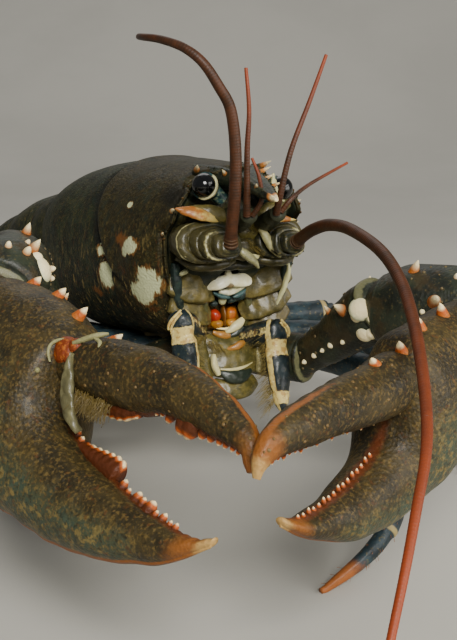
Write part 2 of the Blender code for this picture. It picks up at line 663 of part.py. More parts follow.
def build_feelers(parts, tools, shell, face):
    stems = []
    for label, chains, hand in (("right", ANTENNA_RIGHT, -1.0), ("left", ANTENNA_LEFT, 1.0)):
        start = Vector(chains[0][0])
        ahead = (Vector(chains[0][1]) - start).normalized()
        outward = (body_turn(hand * 0.12, -1.0, 0.06) + ahead * 0.3).normalized()
        rows = []
        for before, radius in STEM:
            rows.append((*(start - outward * before), radius, radius * 0.94))
        turned = (outward + ahead).normalized()
        rows.append((*(start + turned * STEM_TIP), FLAGELLUM_RADIUS * 1.8, FLAGELLUM_RADIUS * 1.8))
        stem = tube(f"antenna_base_{label}", rows, SIDE, 12, parts, "face")
        joint = start + turned * STEM_JOINT
        trim(stem, joint - ahead * (JOINT_GAP / 2.0), ahead)
        base, tip = (Vector(point) for point in SCALES[label])
        blade = []
        for share, width, thick in SCALE_FORM:
            blade.append((*base.lerp(tip, share), width, thick))
        scale = tube("scale", blade, LIFT, 6, tools)
        uncut[stem.name].append(scale.data.copy())
        combine(stem, scale, "UNION")
        bpy.data.objects.remove(scale, do_unlink=True)
        carve(stem, (face, shell), tools)
        stems.append(stem)
        total = sum(len(chain) - 1 for chain in chains)
        done = 0
        for number, chain in enumerate(chains):
            rows = []
            for step, point in enumerate(chain):
                share = (done + step) / total
                radius = FLAGELLUM_RADIUS * (1.0 - TAPER[label] * share ** 1.5)
                if done + step == 0:
                    radius *= ROOT_SWELL
                rows.append((*point, radius, radius))
            done += len(chain) - 1
            rows = smooth(rows, 2)
            length = tube(f"antenna_{label}_{number + 1}", rows, WHIP_SIDE, 7, parts, "feeler")
            first, second = Vector(rows[0][:3]), Vector(rows[1][:3])
            near = (second - first).normalized()
            place = joint + near * (JOINT_GAP / 2.0) if number == 0 else first + near * (JOINT_GAP / 2.0)
            trim(length, place, -near)
            if number < len(chains) - 1:
                coming = Vector(smooth([(*p,) for p in chains[number + 1]], 2)[1])
                end = Vector(rows[-1][:3])
                follow = (coming - end).normalized()
                trim(length, end - follow * (JOINT_GAP / 2.0), follow)
    for name, (root, tip, outer, inner) in ANTENNULES.items():
        rows = limb_rows(root, tip, ANTENNULE_STEM, Vector(), (ANTENNULE_SINK, 0.0))
        stem = tube(name, rows, SIDE, 8, parts, "feeler")
        for points, thick in zip((outer, inner), ANTENNULE_RADII):
            whip = []
            for step, point in enumerate(points):
                radius = thick * (1.0 - ANTENNULE_TAPER * step / (len(points) - 1))
                whip.append((*point, radius, radius))
            piece = tube("whip", smooth(whip, 2), WHIP_SIDE, 6, tools)
            combine(stem, piece, "UNION")
            bpy.data.objects.remove(piece, do_unlink=True)
        carve(stem, (face, shell, *stems), tools)


def limb_rows(start, end, table, bow, reach):
    """Rows of a tube from start to end, bowed sideways and carried on past both ends."""
    start, end = Vector(start), Vector(end)
    ahead = (end - start).normalized()
    rows = []
    for share, width, thick in table:
        rows.append((*(start.lerp(end, share) + bow * math.sin(math.pi * share)), width, thick))
    first = (*(start - ahead * reach[0]), table[0][1], table[0][2])
    last = (*(end + ahead * reach[1]), table[-1][1], table[-1][2])
    rows = ([first] if reach[0] else []) + rows
    return rows + ([last] if reach[1] else [])


def joint_plane(before, joint, after):
    """Normal of the plane that halves the bend at a joint."""
    coming = (Vector(joint) - Vector(before)).normalized()
    going = (Vector(after) - Vector(joint)).normalized()
    return (coming + going).normalized()


def curve_rows(points, table):
    """Rows of a tube along a smooth line through points, with widths from a table of shares of its length."""
    fine = [Vector(row) for row in smooth([(*point,) for point in points], 8)]
    reach = [0.0]
    for first, second in zip(fine, fine[1:]):
        reach.append(reach[-1] + (second - first).length)
    rows = []
    for share, width, thick in table:
        target = share * reach[-1]
        index = next(k for k in range(1, len(fine)) if reach[k] >= target - 1e-9)
        part = (target - reach[index - 1]) / (reach[index] - reach[index - 1])
        rows.append((*fine[index - 1].lerp(fine[index], part), width, thick))
    return rows


def build_legs(parts, tools, shell, breast, arms):
    for name, points in LEGS.items():
        root, knee, ankle, foot = (Vector(point) for point in points)
        side = (knee - root).cross(foot - knee).normalized()
        normal = joint_plane(root, knee, ankle)
        rows = limb_rows(root, knee, LEG_UPPER, LIFT * LEG_RISE, (0.0, LEG_OVERRUN))
        upper = tube(name + "_upper", rows, side, 9, parts, "leg")
        trim(upper, knee - normal * (JOINT_GAP / 2.0), normal)
        carve(upper, (shell, breast, *arms), tools)
        rows = curve_rows((knee, ankle, foot - LIFT * FLOOR_SINK), LEG_LOWER)
        before = knee - (Vector(rows[1][:3]) - knee).normalized() * LEG_OVERRUN
        rows.insert(0, (*before, *LEG_LOWER[0][1:]))
        lower = tube(name + "_lower", rows, side, 9, parts, "leg")
        trim(lower, knee + normal * (JOINT_GAP / 2.0), -normal)
        if name.startswith(PINCERS):
            place = Vector(rows[-2][:3])
            ahead = (foot - place).normalized()
            thumb = solid("thumb", spine_rings(place + side * 1.4, ahead + side * 0.22, THUMB, 1.5, 6), tools)
            combine(lower, thumb, "UNION")
            bpy.data.objects.remove(thumb, do_unlink=True)
        trim(lower, FLOOR, -LIFT)
        keep_largest(lower)


def build_arm(label, joints, claw, shell, breast, face, parts, tools):
    pieces = {}
    side_hint = Vector(claw["across"])
    names = [row[0] for row in ARM_LENGTHS]
    for index, (part, table) in enumerate(ARM_LENGTHS):
        start, end = Vector(joints[index]), Vector(joints[index + 1])
        reach = (ARM_OVERRUN if index > 0 else 0.0, ARM_OVERRUN)
        rows = limb_rows(start, end, table, Vector(), reach)
        piece = tube(f"{part}_{label}", rows, side_hint, 12, parts, "claw", 2.3)
        if index > 0:
            normal = joint_plane(joints[index - 1], start, end)
            trim(piece, start + normal * (JOINT_GAP / 2.0), -normal)
        following = Vector(joints[index + 2]) if index < 2 else end + Vector(claw["along"])
        normal = joint_plane(start, end, following)
        trim(piece, end - normal * (JOINT_GAP / 2.0), normal)
        pieces[part] = piece
    carve(pieces["ischium"], (shell, breast), tools)
    carve(pieces["merus"], (shell, face), tools)
    for part in ("merus", "carpus"):
        index = names.index(part)
        start, end = Vector(joints[index]), Vector(joints[index + 1])
        ahead = (end - start).normalized()
        across = (side_hint - ahead * side_hint.dot(ahead)).normalized()
        lift = across.cross(ahead)
        spines = []
        for where, share, angle, length in ARM_SPINES:
            if where != part:
                continue
            turn = math.radians(angle)
            outward = across * math.sin(turn) - lift * math.cos(turn)
            spot, normal = nearest_skin(pieces[part], start.lerp(end, share) + outward * ARM_REACH)
            spines.append((spot, normal + ahead * 0.35, length, ARM_SPINE_SPREAD * length, 0.0))
        grow(pieces[part], spines, tools)
        following = Vector(joints[index + 2]) if part == "merus" else end + Vector(claw["along"])
        normal = joint_plane(start, end, following)
        trim(pieces[part], end - normal * (JOINT_GAP / 2.0 + SPINE_TRIM), normal)
        keep_largest(pieces[part])
    return pieces


def claw_axes(claw):
    ahead, up = Vector(claw["along"]).normalized(), Vector(claw["across"])
    up = (up - ahead * up.dot(ahead)).normalized()
    return ahead, up, up.cross(ahead)


def claw_place(claw, along, across):
    ahead, up, _ = claw_axes(claw)
    return Vector(claw["wrist"]) + ahead * along + up * across


def edge_across(claw, piece, along, column):
    """Where a claw's edge lies across its plane at a place along it."""
    rows = claw[piece]
    for first, second in zip(rows, rows[1:]):
        if first[0] <= along <= second[0]:
            share = (along - first[0]) / (second[0] - first[0])
            return first[column] + (second[column] - first[column]) * share
    return rows[-1][column]


def build_claw(label, claw, elbow, parts, tools):
    ahead, up, out = claw_axes(claw)
    rings = []
    for along, low, high, thick in claw["palm"]:
        centre = claw_place(claw, along, (low + high) / 2.0)
        rings.append(oval(centre, up, out, (high - low) / 2.0, thick, thick, 14, 2.1))
    palm = solid(f"palm_{label}", rings, parts, "claw")
    normal = joint_plane(elbow, claw["wrist"], Vector(claw["wrist"]) + ahead)
    trim(palm, Vector(claw["wrist"]) + normal * (JOINT_GAP / 2.0), -normal)
    rows = []
    for along, across, width, thick in claw["finger"]:
        rows.append((*claw_place(claw, along, across), width, thick))
    finger = tube(f"dactyl_{label}", rows, up, 12, parts, "claw", 2.1)
    carve(finger, (palm,), tools)
    spines = []
    for along, height, radius in claw["palm_teeth"]:
        spot, _ = nearest_skin(palm, claw_place(claw, along, edge_across(claw, "palm", along, 2)))
        spines.append((spot, up + ahead * dice.uniform(-0.1, 0.1), height, radius, TOOTH_BLUNT))
    for along, height in claw["margin_spines"]:
        spot, _ = nearest_skin(palm, claw_place(claw, along, CLAW_REACH))
        spines.append((spot, up + ahead * 0.3, height, MARGIN_SPINE_RADIUS, 0.0))
    grow(palm, spines, tools)
    spines = []
    for along, height, radius in claw["finger_teeth"]:
        lower_edge = edge_across(claw, "finger", along, 1) - edge_across(claw, "finger", along, 2)
        spot, _ = nearest_skin(finger, claw_place(claw, along, lower_edge))
        spines.append((spot, -up + ahead * dice.uniform(-0.1, 0.1), height, radius, TOOTH_BLUNT))
    for along, height in claw["finger_spines"]:
        spot, _ = nearest_skin(finger, claw_place(claw, along, CLAW_REACH))
        spines.append((spot, up + ahead * 0.5, height, MARGIN_SPINE_RADIUS, 0.0))
    grow(finger, spines, tools)


def build_mouthparts(parts, tools, shell, face, mouth, breast, arms):
    for name, (root, knee, tip) in MAXILLIPEDS.items():
        root, knee, tip = Vector(root), Vector(knee), Vector(tip)
        side = (knee - root).cross(tip - knee).normalized()
        normal = joint_plane(root, knee, tip)
        rows = limb_rows(root, knee, PALP_UPPER, Vector(), (0.0, PALP_OVERRUN))
        upper = tube(name + "_upper", rows, side, 9, parts, "face")
        trim(upper, knee - normal * (JOINT_GAP / 2.0), normal)
        carve(upper, (shell, breast, mouth, face, *arms), tools)
        rows = limb_rows(knee, tip, PALP_LOWER, Vector(), (PALP_OVERRUN, 0.0))
        lower = tube(name + "_lower", rows, side, 9, parts, "face")
        trim(lower, knee + normal * (JOINT_GAP / 2.0), -normal)
        carve(lower, (mouth, face, shell, *arms), tools)


def across_axes(ahead):
    """Level and upright directions square to a direction."""
    side = (SIDE - ahead * SIDE.dot(ahead)).normalized()
    return side, side.cross(ahead)


def tail_ring(row, ahead, side, lift, shift, grow_by, sides):
    centre = Vector(row[:3]) + ahead * shift
    return oval(centre, side, lift, row[3] * grow_by, row[4] * grow_by, row[5], sides, 2.2, 4.0)


def build_tail(parts, tools, shell):
    rows = TAIL_PATH
    places = [Vector(row[:3]) for row in rows]
    directions = []
    for index in range(len(places)):
        ahead = places[min(index + 1, len(places) - 1)] - places[max(index - 1, 0)]
        directions.append(ahead.normalized())
    directions[0] = body_turn(0.0, 1.0, 0.0)
    for index in range(len(places) - 1):
        rings = []
        for place, share, bulge in ((index, 0.0, 1.0), (index, 0.45, SOMITE_BULGE), (index + 1, 1.0, 1.0)):
            ahead = directions[index].lerp(directions[index + 1], share).normalized()
            side, lift = across_axes(ahead)
            if 0.0 < share < 1.0:
                row = [rows[index][k] * (1.0 - share) + rows[index + 1][k] * share for k in range(6)]
                shift = 0.0
            else:
                row = rows[place]
                shift = JOINT_GAP / 2.0 if share == 0.0 else -JOINT_GAP / 2.0
            rings.append(tail_ring(row, ahead, side, lift, shift, bulge, 16))
        somite = solid(f"somite_{index + 1}", rings, parts, "tail")
        if index == 0:
            carve(somite, (shell,), tools)
        middle = places[index].lerp(places[index + 1], 0.5)
        ahead = directions[index].lerp(directions[index + 1], 0.5).normalized()
        side, lift = across_axes(ahead)
        spines = []
        for hand in (-1.0, 1.0):
            depth = (rows[index][5] + rows[index + 1][5]) / 2.0
            width = (rows[index][3] + rows[index + 1][3]) / 2.0
            spot = middle - lift * depth * 0.86 + side * hand * width * 0.90 - ahead * 1.0
            if index < 5:
                spines.append((spot, -lift + ahead * 0.45, *PLEURON))
            if 0 < index < 5:
                root = middle - lift * (depth - 0.5) + side * hand * width * 0.45
                spines.append((root, -lift * 0.6 + ahead + side * hand * 0.3, *SWIMMERET))
        grow(somite, spines, tools)
        trim(somite, FLOOR, -LIFT)
        keep_largest(somite)
    return places[-1], directions[-1]


def build_fan(parts, tools, place, direction):
    neighbours = [bpy.data.objects["somite_6"]]
    heading = math.atan2(direction.x, direction.y)
    for name, turn, shift, length, widths in FAN:
        angle = heading + math.radians(turn)
        ahead = Vector((math.sin(angle), math.cos(angle), 0.0))
        side = Vector((ahead.y, -ahead.x, 0.0))
        straight = Vector((math.sin(heading), math.cos(heading), 0.0))
        across = Vector((straight.y, -straight.x, 0.0))
        root = place + across * shift - straight * FAN_ROOT_SINK
        rows = []
        for share, width in zip(FAN_SHARES, (widths[0], *widths, widths[-1] * 0.45)):
            point = root + ahead * length * share
            level = max(FAN_THICK - FAN_LOW, root.z * (1.0 - share * 2.1) - 1.0)
            thick = FAN_THICK * (2.4 - 1.6 * min(share * 2.0, 1.0))
            rows.append((point.x, point.y, max(level, thick - FAN_LOW), width, thick))
        plate = tube(name, rows, side, 10, parts, "tail", 2.6)
        carve(plate, neighbours, tools)
        trim(plate, FLOOR, -LIFT)
        keep_largest(plate)
        neighbours.append(plate)


def settle_origin(parts):
    """Puts the origin at the middle of the bottom of the whole object's box."""
    low, high = Vector((1e9,) * 3), Vector((-1e9,) * 3)
    for item in parts.objects:
        for vert in item.data.vertices:
            low = Vector(map(min, low, vert.co))
            high = Vector(map(max, high, vert.co))
    shift = Vector((-(low.x + high.x) / 2.0, -(low.y + high.y) / 2.0, -low.z))
    for item in parts.objects:
        item.data.transform(Matrix.Translation(shift))
        item.data.update()


def main():
    clear_scene()
    parts = new_collection("european_lobster")
    tools = new_collection("cutters")
    tools.hide_render = True
    shell = build_carapace(parts, tools)
    face, mouth, breast = build_head(parts, tools, shell)
    build_feelers(parts, tools, shell, face)
    arms = []
    for label, joints, claw in (("right", ARM_RIGHT, CRUSHER), ("left", ARM_LEFT, CUTTER)):
        pieces = build_arm(label, joints, claw, shell, breast, face, parts, tools)
        build_claw(label, claw, Vector(joints[2]), parts, tools)
        arms += [pieces["ischium"], pieces["merus"]]
    build_legs(parts, tools, shell, breast, arms)
    build_mouthparts(parts, tools, shell, face, mouth, breast, arms)
    place, direction = build_tail(parts, tools, shell)
    build_fan(parts, tools, place, direction)
    settle_origin(parts)


main()
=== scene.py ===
import math
import random

import bpy
import numpy as np
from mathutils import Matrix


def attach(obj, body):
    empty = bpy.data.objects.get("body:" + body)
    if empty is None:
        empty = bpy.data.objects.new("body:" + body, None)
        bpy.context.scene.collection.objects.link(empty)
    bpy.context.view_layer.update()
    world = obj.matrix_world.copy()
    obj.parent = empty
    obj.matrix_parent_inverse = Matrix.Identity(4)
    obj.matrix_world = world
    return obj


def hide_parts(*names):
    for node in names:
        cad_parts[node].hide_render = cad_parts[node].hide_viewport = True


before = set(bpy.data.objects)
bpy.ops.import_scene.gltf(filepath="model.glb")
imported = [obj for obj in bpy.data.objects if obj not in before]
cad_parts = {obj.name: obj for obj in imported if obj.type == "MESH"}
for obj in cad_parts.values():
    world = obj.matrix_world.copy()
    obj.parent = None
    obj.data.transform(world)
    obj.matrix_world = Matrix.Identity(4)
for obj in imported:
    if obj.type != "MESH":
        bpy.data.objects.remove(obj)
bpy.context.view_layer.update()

# lengths are in millimetres in the animal's own frame: the floor at zero, the head to -Y, its left to +X
MM = 0.001
SHIFT = np.array((4.76, -58.74, 0.0))
FLOOR_GAP = 0.03
EYE_HEIGHT = 112.0
EYE_SPACING = 27.0
EYE_RADIUS = 3.95
PITCH = math.radians(11.0)
UP = np.array((0.0, 0.0, 1.0))
SIDE = np.array((1.0, 0.0, 0.0))
HANDS = {"right": -1.0, "left": 1.0}

# the photo's view: place, direction, and focal length for a picture of this height
VIEW_PLACE = np.array((-161.1, -320.7, 163.7))
VIEW_WAY = (0.4234, 0.8682, -0.2588)
FOCAL_LENGTH = 1112.0
PICTURE_HEIGHT = 640.0
SENSOR = 36.0

# points around each form, and along some of them
SHELL_COLUMNS = 221
BEAK_SIDES = 72
EYE_SIDES = 72
STEM_SIDES = 96
PALM_SIDES = 144
FINGER_SIDES = 120
ARM_ROWS, ARM_SIDES = 110, 100
LEG_UPPER_ROWS, LEG_LOWER_ROWS, LEG_SIDES = 90, 120, 44
TAIL_ROWS, TAIL_SIDES = 66, 112
FAN_SIDES = 120
WHIP_ROWS_PER_MM, WHIP_SIDES = 8, 18
JAW_LEG_SIDES = 64

# shell over the head and chest: back, half width, top, widest level, bottom
CARAPACE = (
    (6.0, 23.6, 6.0, -15.0, -41.0),
    (12.0, 25.8, 8.6, -15.0, -44.5),
    (26.0, 28.6, 11.0, -15.0, -48.5),
    (40.0, 30.6, 13.0, -14.0, -49.5),
    (54.0, 32.2, 14.4, -14.0, -49.5),
    (66.0, 33.0, 14.8, -14.0, -49.5),
    (84.0, 36.0, 15.8, -13.0, -49.5),
    (98.0, 37.6, 15.8, -12.0, -49.5),
    (110.0, 36.6, 14.6, -12.0, -47.0),
    (118.0, 32.9, 11.6, -14.0, -43.0),
    (120.0, 31.0, 9.8, -14.0, -41.0),
)
GROOVE_BACK = 66.0
GROOVE_LEAN = 22.0
CHEEK_LEAN = 14.0
# beak: back, across, up, half width, half thickness
ROSTRUM = (
    (24.0, 0.0, 5.6, 11.5, 4.6),
    (6.0, 0.0, 3.8, 9.4, 4.2),
    (-4.0, -0.3, 2.2, 6.4, 3.2),
    (-14.0, -1.2, -0.6, 4.4, 2.5),
    (-24.0, -2.8, -3.6, 2.6, 1.7),
    (-31.5, -4.4, -5.4, 0.6, 0.6),
)
# tail, in the world: place, half width, height above the middle, depth below it
TAIL_PATH = (
    (-0.5, 115.2, 76.5, 30.0, 21.0, 20.0),
    (-4.0, 138.6, 72.8, 30.0, 20.8, 20.0),
    (-10.0, 161.4, 64.6, 29.2, 19.8, 19.4),
    (-18.4, 182.6, 52.6, 28.0, 18.4, 18.4),
    (-29.0, 202.6, 38.8, 26.4, 17.0, 17.0),
    (-41.0, 221.4, 25.0, 24.4, 15.0, 14.8),
    (-54.0, 239.6, 13.4, 21.0, 10.0, 9.2),
)
# blades of the tail fan: name, turn, shift, length, half widths
FAN = (
    ("telson", 0.0, 0.0, 44.0, (9.0, 14.0, 15.0, 12.0)),
    ("uropod_inner_right", -27.0, -12.0, 46.0, (5.0, 11.0, 13.0, 9.0)),
    ("uropod_inner_left", 27.0, 12.0, 46.0, (5.0, 11.0, 13.0, 9.0)),
    ("uropod_outer_right", -58.0, -17.0, 46.0, (4.5, 10.0, 13.0, 9.0)),
    ("uropod_outer_left", 58.0, 17.0, 46.0, (4.5, 10.0, 13.0, 9.0)),
)
# walking legs, in the world: root, knee, ankle, foot
LEGS = {
    "leg_2_left": ((9.0, 41.0, 47.0), (46.0, -20.0, 48.0), (22.0, -60.0, 17.0), (-6.0, -65.0, 0.0)),
    "leg_3_left": ((10.0, 54.0, 45.5), (64.0, 24.0, 48.0), (84.0, 3.0, 22.0), (90.0, -14.0, 0.0)),
    "leg_4_left": ((11.0, 67.0, 43.0), (69.0, 60.0, 49.0), (92.0, 58.0, 24.0), (101.0, 56.0, 0.0)),
    "leg_5_left": ((12.0, 80.0, 40.5), (62.0, 107.0, 46.0), (80.0, 128.0, 22.0), (86.0, 142.0, 0.0)),
    "leg_2_right": ((-9.0, 41.0, 47.0), (-62.0, 54.0, 46.0), (-72.0, 34.0, 20.0), (-64.0, 16.0, 0.0)),
    "leg_3_right": ((-10.0, 54.0, 45.5), (-66.0, 70.0, 48.0), (-88.0, 62.0, 22.0), (-97.0, 50.0, 0.0)),
    "leg_4_right": ((-11.0, 67.0, 43.0), (-66.0, 90.0, 48.0), (-88.0, 94.0, 24.0), (-97.0, 92.0, 0.0)),
    "leg_5_right": ((-12.0, 80.0, 40.5), (-58.0, 114.0, 44.0), (-74.0, 138.0, 22.0), (-80.0, 154.0, 0.0)),
}
# share of the length, half width, half thickness
LEG_UPPER = ((0.0, 5.6, 5.6), (0.25, 5.4, 5.0), (0.42, 4.2, 4.2), (0.5, 4.6, 4.4), (0.75, 5.4, 4.6), (1.0, 4.8, 4.4))
LEG_LOWER = (
    (0.0, 4.6, 4.2), (0.14, 4.6, 4.1), (0.25, 4.3, 3.9), (0.30, 3.5, 3.2), (0.36, 3.8, 3.4), (0.5, 4.2, 3.6),
    (0.66, 3.8, 3.3), (0.70, 2.9, 2.6), (0.76, 2.8, 2.5), (0.9, 1.9, 1.8), (1.0, 0.9, 0.9),
)
ARMS = {
    "right": ((-8.0, 26.0, 50.0), (-46.0, 24.0, 43.0), (-68.0, 30.0, 86.0), (-84.1, -7.2, 85.3)),
    "left": ((8.0, 26.0, 50.0), (23.0, -3.0, 52.0), (31.0, -36.0, 77.0), (54.1, -66.0, 75.6)),
}
ARM_LENGTHS = (
    ("ischium", ((0.0, 8.6, 6.6), (0.5, 8.0, 7.0), (1.0, 8.4, 7.6))),
    ("merus", ((0.0, 5.8, 5.6), (0.4, 7.6, 6.8), (0.8, 9.8, 8.6), (1.0, 9.6, 8.6))),
    ("carpus", ((0.0, 10.0, 9.2), (0.12, 12.6, 11.0), (0.3, 15.0, 12.6), (0.7, 16.0, 13.2), (0.9, 13.0, 11.4),
                (1.0, 9.6, 9.0))),
)
# length of the arm, share along it, turn, height
ARM_SPINES = (
    ("merus", 0.82, 35.0, 5.0), ("merus", 0.86, 130.0, 4.4), ("merus", 0.62, 60.0, 3.0),
    ("carpus", 0.30, 80.0, 4.2), ("carpus", 0.55, 40.0, 5.2), ("carpus", 0.72, 95.0, 4.6),
    ("carpus", 0.80, 150.0, 4.4), ("carpus", 0.62, 10.0, 4.4),
)
# claws: place of the wrist and two axes; palm: along, low edge, high edge, half thickness; finger: along, across,
# half width, half thickness; teeth: along, height, radius; ridges and spines: along, height
CRUSHER = {
    "wrist": (-84.1, -7.2, 85.3), "along": (0.158, -0.949, -0.273), "across": (0.525, -0.153, 0.837),
    "palm": (
        (-10.0, -8.5, 7.5, 8.5), (1.0, -9.0, 8.0, 9.0), (8.0, -17.0, 10.5, 12.5), (20.0, -28.0, 14.0, 15.5),
        (34.0, -35.0, 15.0, 16.5), (45.0, -37.4, 12.5, 16.0), (51.0, -37.2, 0.0, 14.5), (57.0, -36.2, -7.0, 13.0),
        (68.0, -33.8, -9.2, 11.0), (82.0, -29.0, -8.8, 9.0), (96.0, -21.8, -7.2, 6.8), (107.0, -13.8, -5.0, 4.4),
        (113.0, -7.4, -2.6, 2.8), (116.8, -1.8, 0.8, 1.1),
    ),
    "finger": (
        (43.0, 4.0, 7.0, 7.0), (50.0, 6.3, 7.9, 8.2), (60.0, 10.4, 8.6, 8.2), (67.0, 13.2, 8.6, 8.0),
        (74.0, 16.0, 8.2, 7.4), (81.0, 18.8, 6.9, 6.6), (90.0, 20.6, 6.2, 5.6), (103.0, 21.9, 4.3, 4.0),
        (110.0, 21.2, 2.8, 2.7), (114.6, 16.8, 0.8, 0.8),
    ),
    "palm_teeth": (
        (58.4, 1.5, 1.1), (60.8, 1.8, 1.2), (63.2, 1.6, 1.2), (84.4, 2.6, 1.3), (86.8, 1.6, 0.9), (90.4, 2.6, 1.5),
        (92.8, 2.2, 1.2), (95.6, 3.0, 1.8), (98.0, 1.6, 0.9), (100.6, 2.3, 1.2), (103.4, 1.5, 0.9), (105.4, 1.7, 1.0),
    ),
    "finger_teeth": (
        (78.6, 1.3, 0.9), (80.6, 1.4, 0.9), (82.4, 1.3, 0.9), (85.2, 2.2, 1.5), (90.4, 3.4, 2.4), (92.8, 3.6, 2.5),
        (96.8, 2.2, 1.5), (99.6, 2.0, 1.3), (102.2, 1.6, 1.1), (104.4, 1.5, 1.0), (106.6, 1.3, 0.9), (108.6, 1.1, 0.8),
    ),
    "palm_ridge": ((65.0, 1.4), (70.0, 3.1), (75.0, 4.7), (79.0, 5.5), (81.2, 5.0)),
    "finger_ridge": ((62.4, 1.8), (66.0, 3.2), (72.0, 3.6), (75.8, 2.4)),
    "margin_spines": ((14.0, 2.6), (26.0, 3.0), (38.0, 3.4)),
    "finger_spines": ((53.0, 4.0),),
    "knobs": (((-86.1, -56.1, 78.3), 0.7, 0.9, "bony"),),
    "sharp": 0.0,
}
CUTTER = {
    "wrist": (54.1, -66.0, 75.6), "along": (-0.876, -0.450, -0.174), "across": (-0.155, -0.079, 0.985),
    "palm": (
        (-12.0, -7.5, 7.5, 8.0), (1.0, -8.0, 8.0, 8.4), (8.0, -13.5, 11.5, 11.0), (20.0, -19.5, 16.0, 13.0),
        (35.0, -23.5, 19.0, 14.0), (50.0, -25.0, 21.0, 14.0), (60.0, -25.4, 21.0, 13.4), (66.5, -25.4, 14.0, 12.0),
        (72.0, -25.0, 1.0, 10.6), (79.0, -24.0, -4.0, 9.4), (92.0, -20.4, -5.4, 7.4), (104.0, -13.4, -4.8, 5.2),
        (112.0, -7.6, -3.0, 3.4), (118.8, -0.6, 1.2, 1.0),
    ),
    "finger": (
        (59.0, 10.0, 7.0, 7.0), (68.0, 11.6, 8.0, 7.6), (77.0, 12.8, 7.2, 7.0), (92.0, 16.6, 6.4, 5.8),
        (107.0, 19.4, 5.4, 4.6), (117.0, 20.8, 4.2, 3.4), (123.0, 19.2, 2.5, 2.2), (125.8, 15.4, 0.8, 0.8),
    ),
    "palm_teeth": tuple((79.0 + 2.2 * step, 1.3 + 0.6 * (step % 3 == 1), 1.0) for step in range(16)),
    "finger_teeth": tuple((80.0 + 2.2 * step, 1.3 + 0.6 * (step % 3 == 1), 1.0) for step in range(19)),
    "margin_spines": ((14.0, 3.0), (27.0, 3.6), (40.0, 3.6), (53.0, 3.4), (63.0, 3.0)),
    "finger_spines": ((74.0, 2.4),),
    "palm_ridge": (),
    "finger_ridge": (),
    "knobs": (
        ((-9.1, -101.5, 82.6), 1.2, 1.7, "hinged"), ((-5.1, -104.3, 78.4), 1.0, 1.3, "hinged"),
        ((-9.1, -106.1, 78.5), 0.9, 1.2, "hinged"), ((-2.0, -100.0, 80.0), 0.8, 1.1, "hinged"),
    ),
    "sharp": 1.0,
}
# hinge of the crushing claw: along, across, out, and sizes
SOFT_SKIN = (
    (52.4, 9.0, -8.4, 0.4), (53.8, 6.6, -8.6, 1.0), (56.0, 3.2, -8.4, 1.8), (58.8, -0.4, -7.8, 2.3),
    (61.2, -3.0, -6.8, 2.0),
    (63.6, -4.8, -5.4, 1.1), (65.4, -5.6, -4.2, 0.4),
)
KNUCKLE = (
    (47.8, 7.6, -8.4, 1.4, 3.9, "hinged"), (50.4, 10.4, -7.8, 1.3, 2.4, "hinged"),
    (50.6, 7.0, -7.8, 1.2, 2.0, "hinged"),
)
KNUCKLE_RIDGES = (
    (((50.6, 11.0, -8.6), (52.8, 14.0, -7.6), (54.6, 16.6, -6.2), (55.6, 18.2, -4.6)), (0.7, 0.9, 0.9, 0.4)),
    (((54.2, 15.4, -6.8), (56.2, 15.4, -6.2), (57.6, 14.4, -6.8)), (0.5, 0.7, 0.3)),
    (((48.6, 3.6, -10.2), (46.6, 5.2, -10.7), (45.7, 7.1, -10.6), (46.0, 9.0, -9.6), (47.4, 10.8, -8.0)),
     (0.3, 0.5, 0.5, 0.5, 0.3)),
)
# feelers, in the world: lines of the three lengths of each whip
WHIP_SIDE = (1.0, 0.1, 0.0)
FLAGELLUM_RADIUS = 1.95
ROOT_SWELL = 1.14
TAPER = {"right": 0.8, "left": 0.6}
ANTENNAE = {
    "right": (
        ((-12.6, -17.6, 97.0), (-13.4, -20.0, 103.0), (-13.6, -22.6, 114.0), (-13.9, -23.6, 127.0),
         (-15.6, -23.8, 138.8), (-19.2, -23.4, 145.6)),
        ((-19.2, -23.4, 145.6), (-23.4, -21.4, 152.4), (-27.6, -17.1, 156.6), (-31.6, -9.6, 158.8),
         (-33.2, 0.7, 159.4), (-26.4, 20.9, 159.2)),
        ((-26.4, 20.9, 159.2), (-8.8, 64.2, 158.5), (10.3, 112.3, 157.9), (29.3, 160.5, 157.2)),
    ),
    "left": (
        ((10.6, -17.6, 96.0), (10.0, -23.0, 99.0), (9.2, -31.0, 102.6), (8.8, -41.0, 105.6), (7.8, -54.0, 106.4),
         (4.8, -73.7, 104.3)),
        ((4.8, -73.7, 104.3), (0.8, -89.3, 99.7), (-5.3, -104.3, 93.3), (-12.8, -119.1, 85.8), (-20.0, -131.5, 78.7)),
        ((-20.0, -131.5, 78.7), (-25.9, -139.5, 73.2), (-33.1, -147.1, 66.7), (-41.0, -155.0, 58.0),
         (-50.0, -163.0, 46.0), (-60.0, -172.0, 32.0)),
    ),
}
ANTENNULES = {
    "antennule_right": (
        (-4.6, -9.0, 102.5), (-6.4, -18.0, 106.0),
        ((-7.4, -18.4, 106.0), (-8.2, -20.0, 114.0), (-8.4, -20.4, 126.5), (-7.4, -19.6, 138.3), (-7.3, -17.2, 150.5)),
        ((-5.6, -18.6, 106.0), (-3.6, -20.8, 111.0), (-4.4, -20.7, 118.0), (-6.0, -18.9, 123.8)),
    ),
    "antennule_left": (
        (4.6, -9.0, 102.0), (3.4, -18.6, 106.0),
        ((2.6, -19.0, 106.0), (2.6, -21.7, 113.0), (6.0, -21.8, 125.9), (13.4, -19.9, 140.6), (20.5, -17.1, 153.9)),
        ((4.4, -18.6, 106.4), (8.0, -19.6, 110.8), (16.0, -16.4, 114.2), (32.7, -11.4, 119.4)),
    ),
}
MAXILLIPEDS = {
    "maxilliped_right": ((-5.0, 20.0, 54.0), (-19.4, 6.0, 68.0), (-19.0, -2.0, 44.0)),
    "maxilliped_left": ((4.5, 20.0, 54.0), (13.2, 0.6, 62.0), (10.6, -10.0, 37.0)),
}
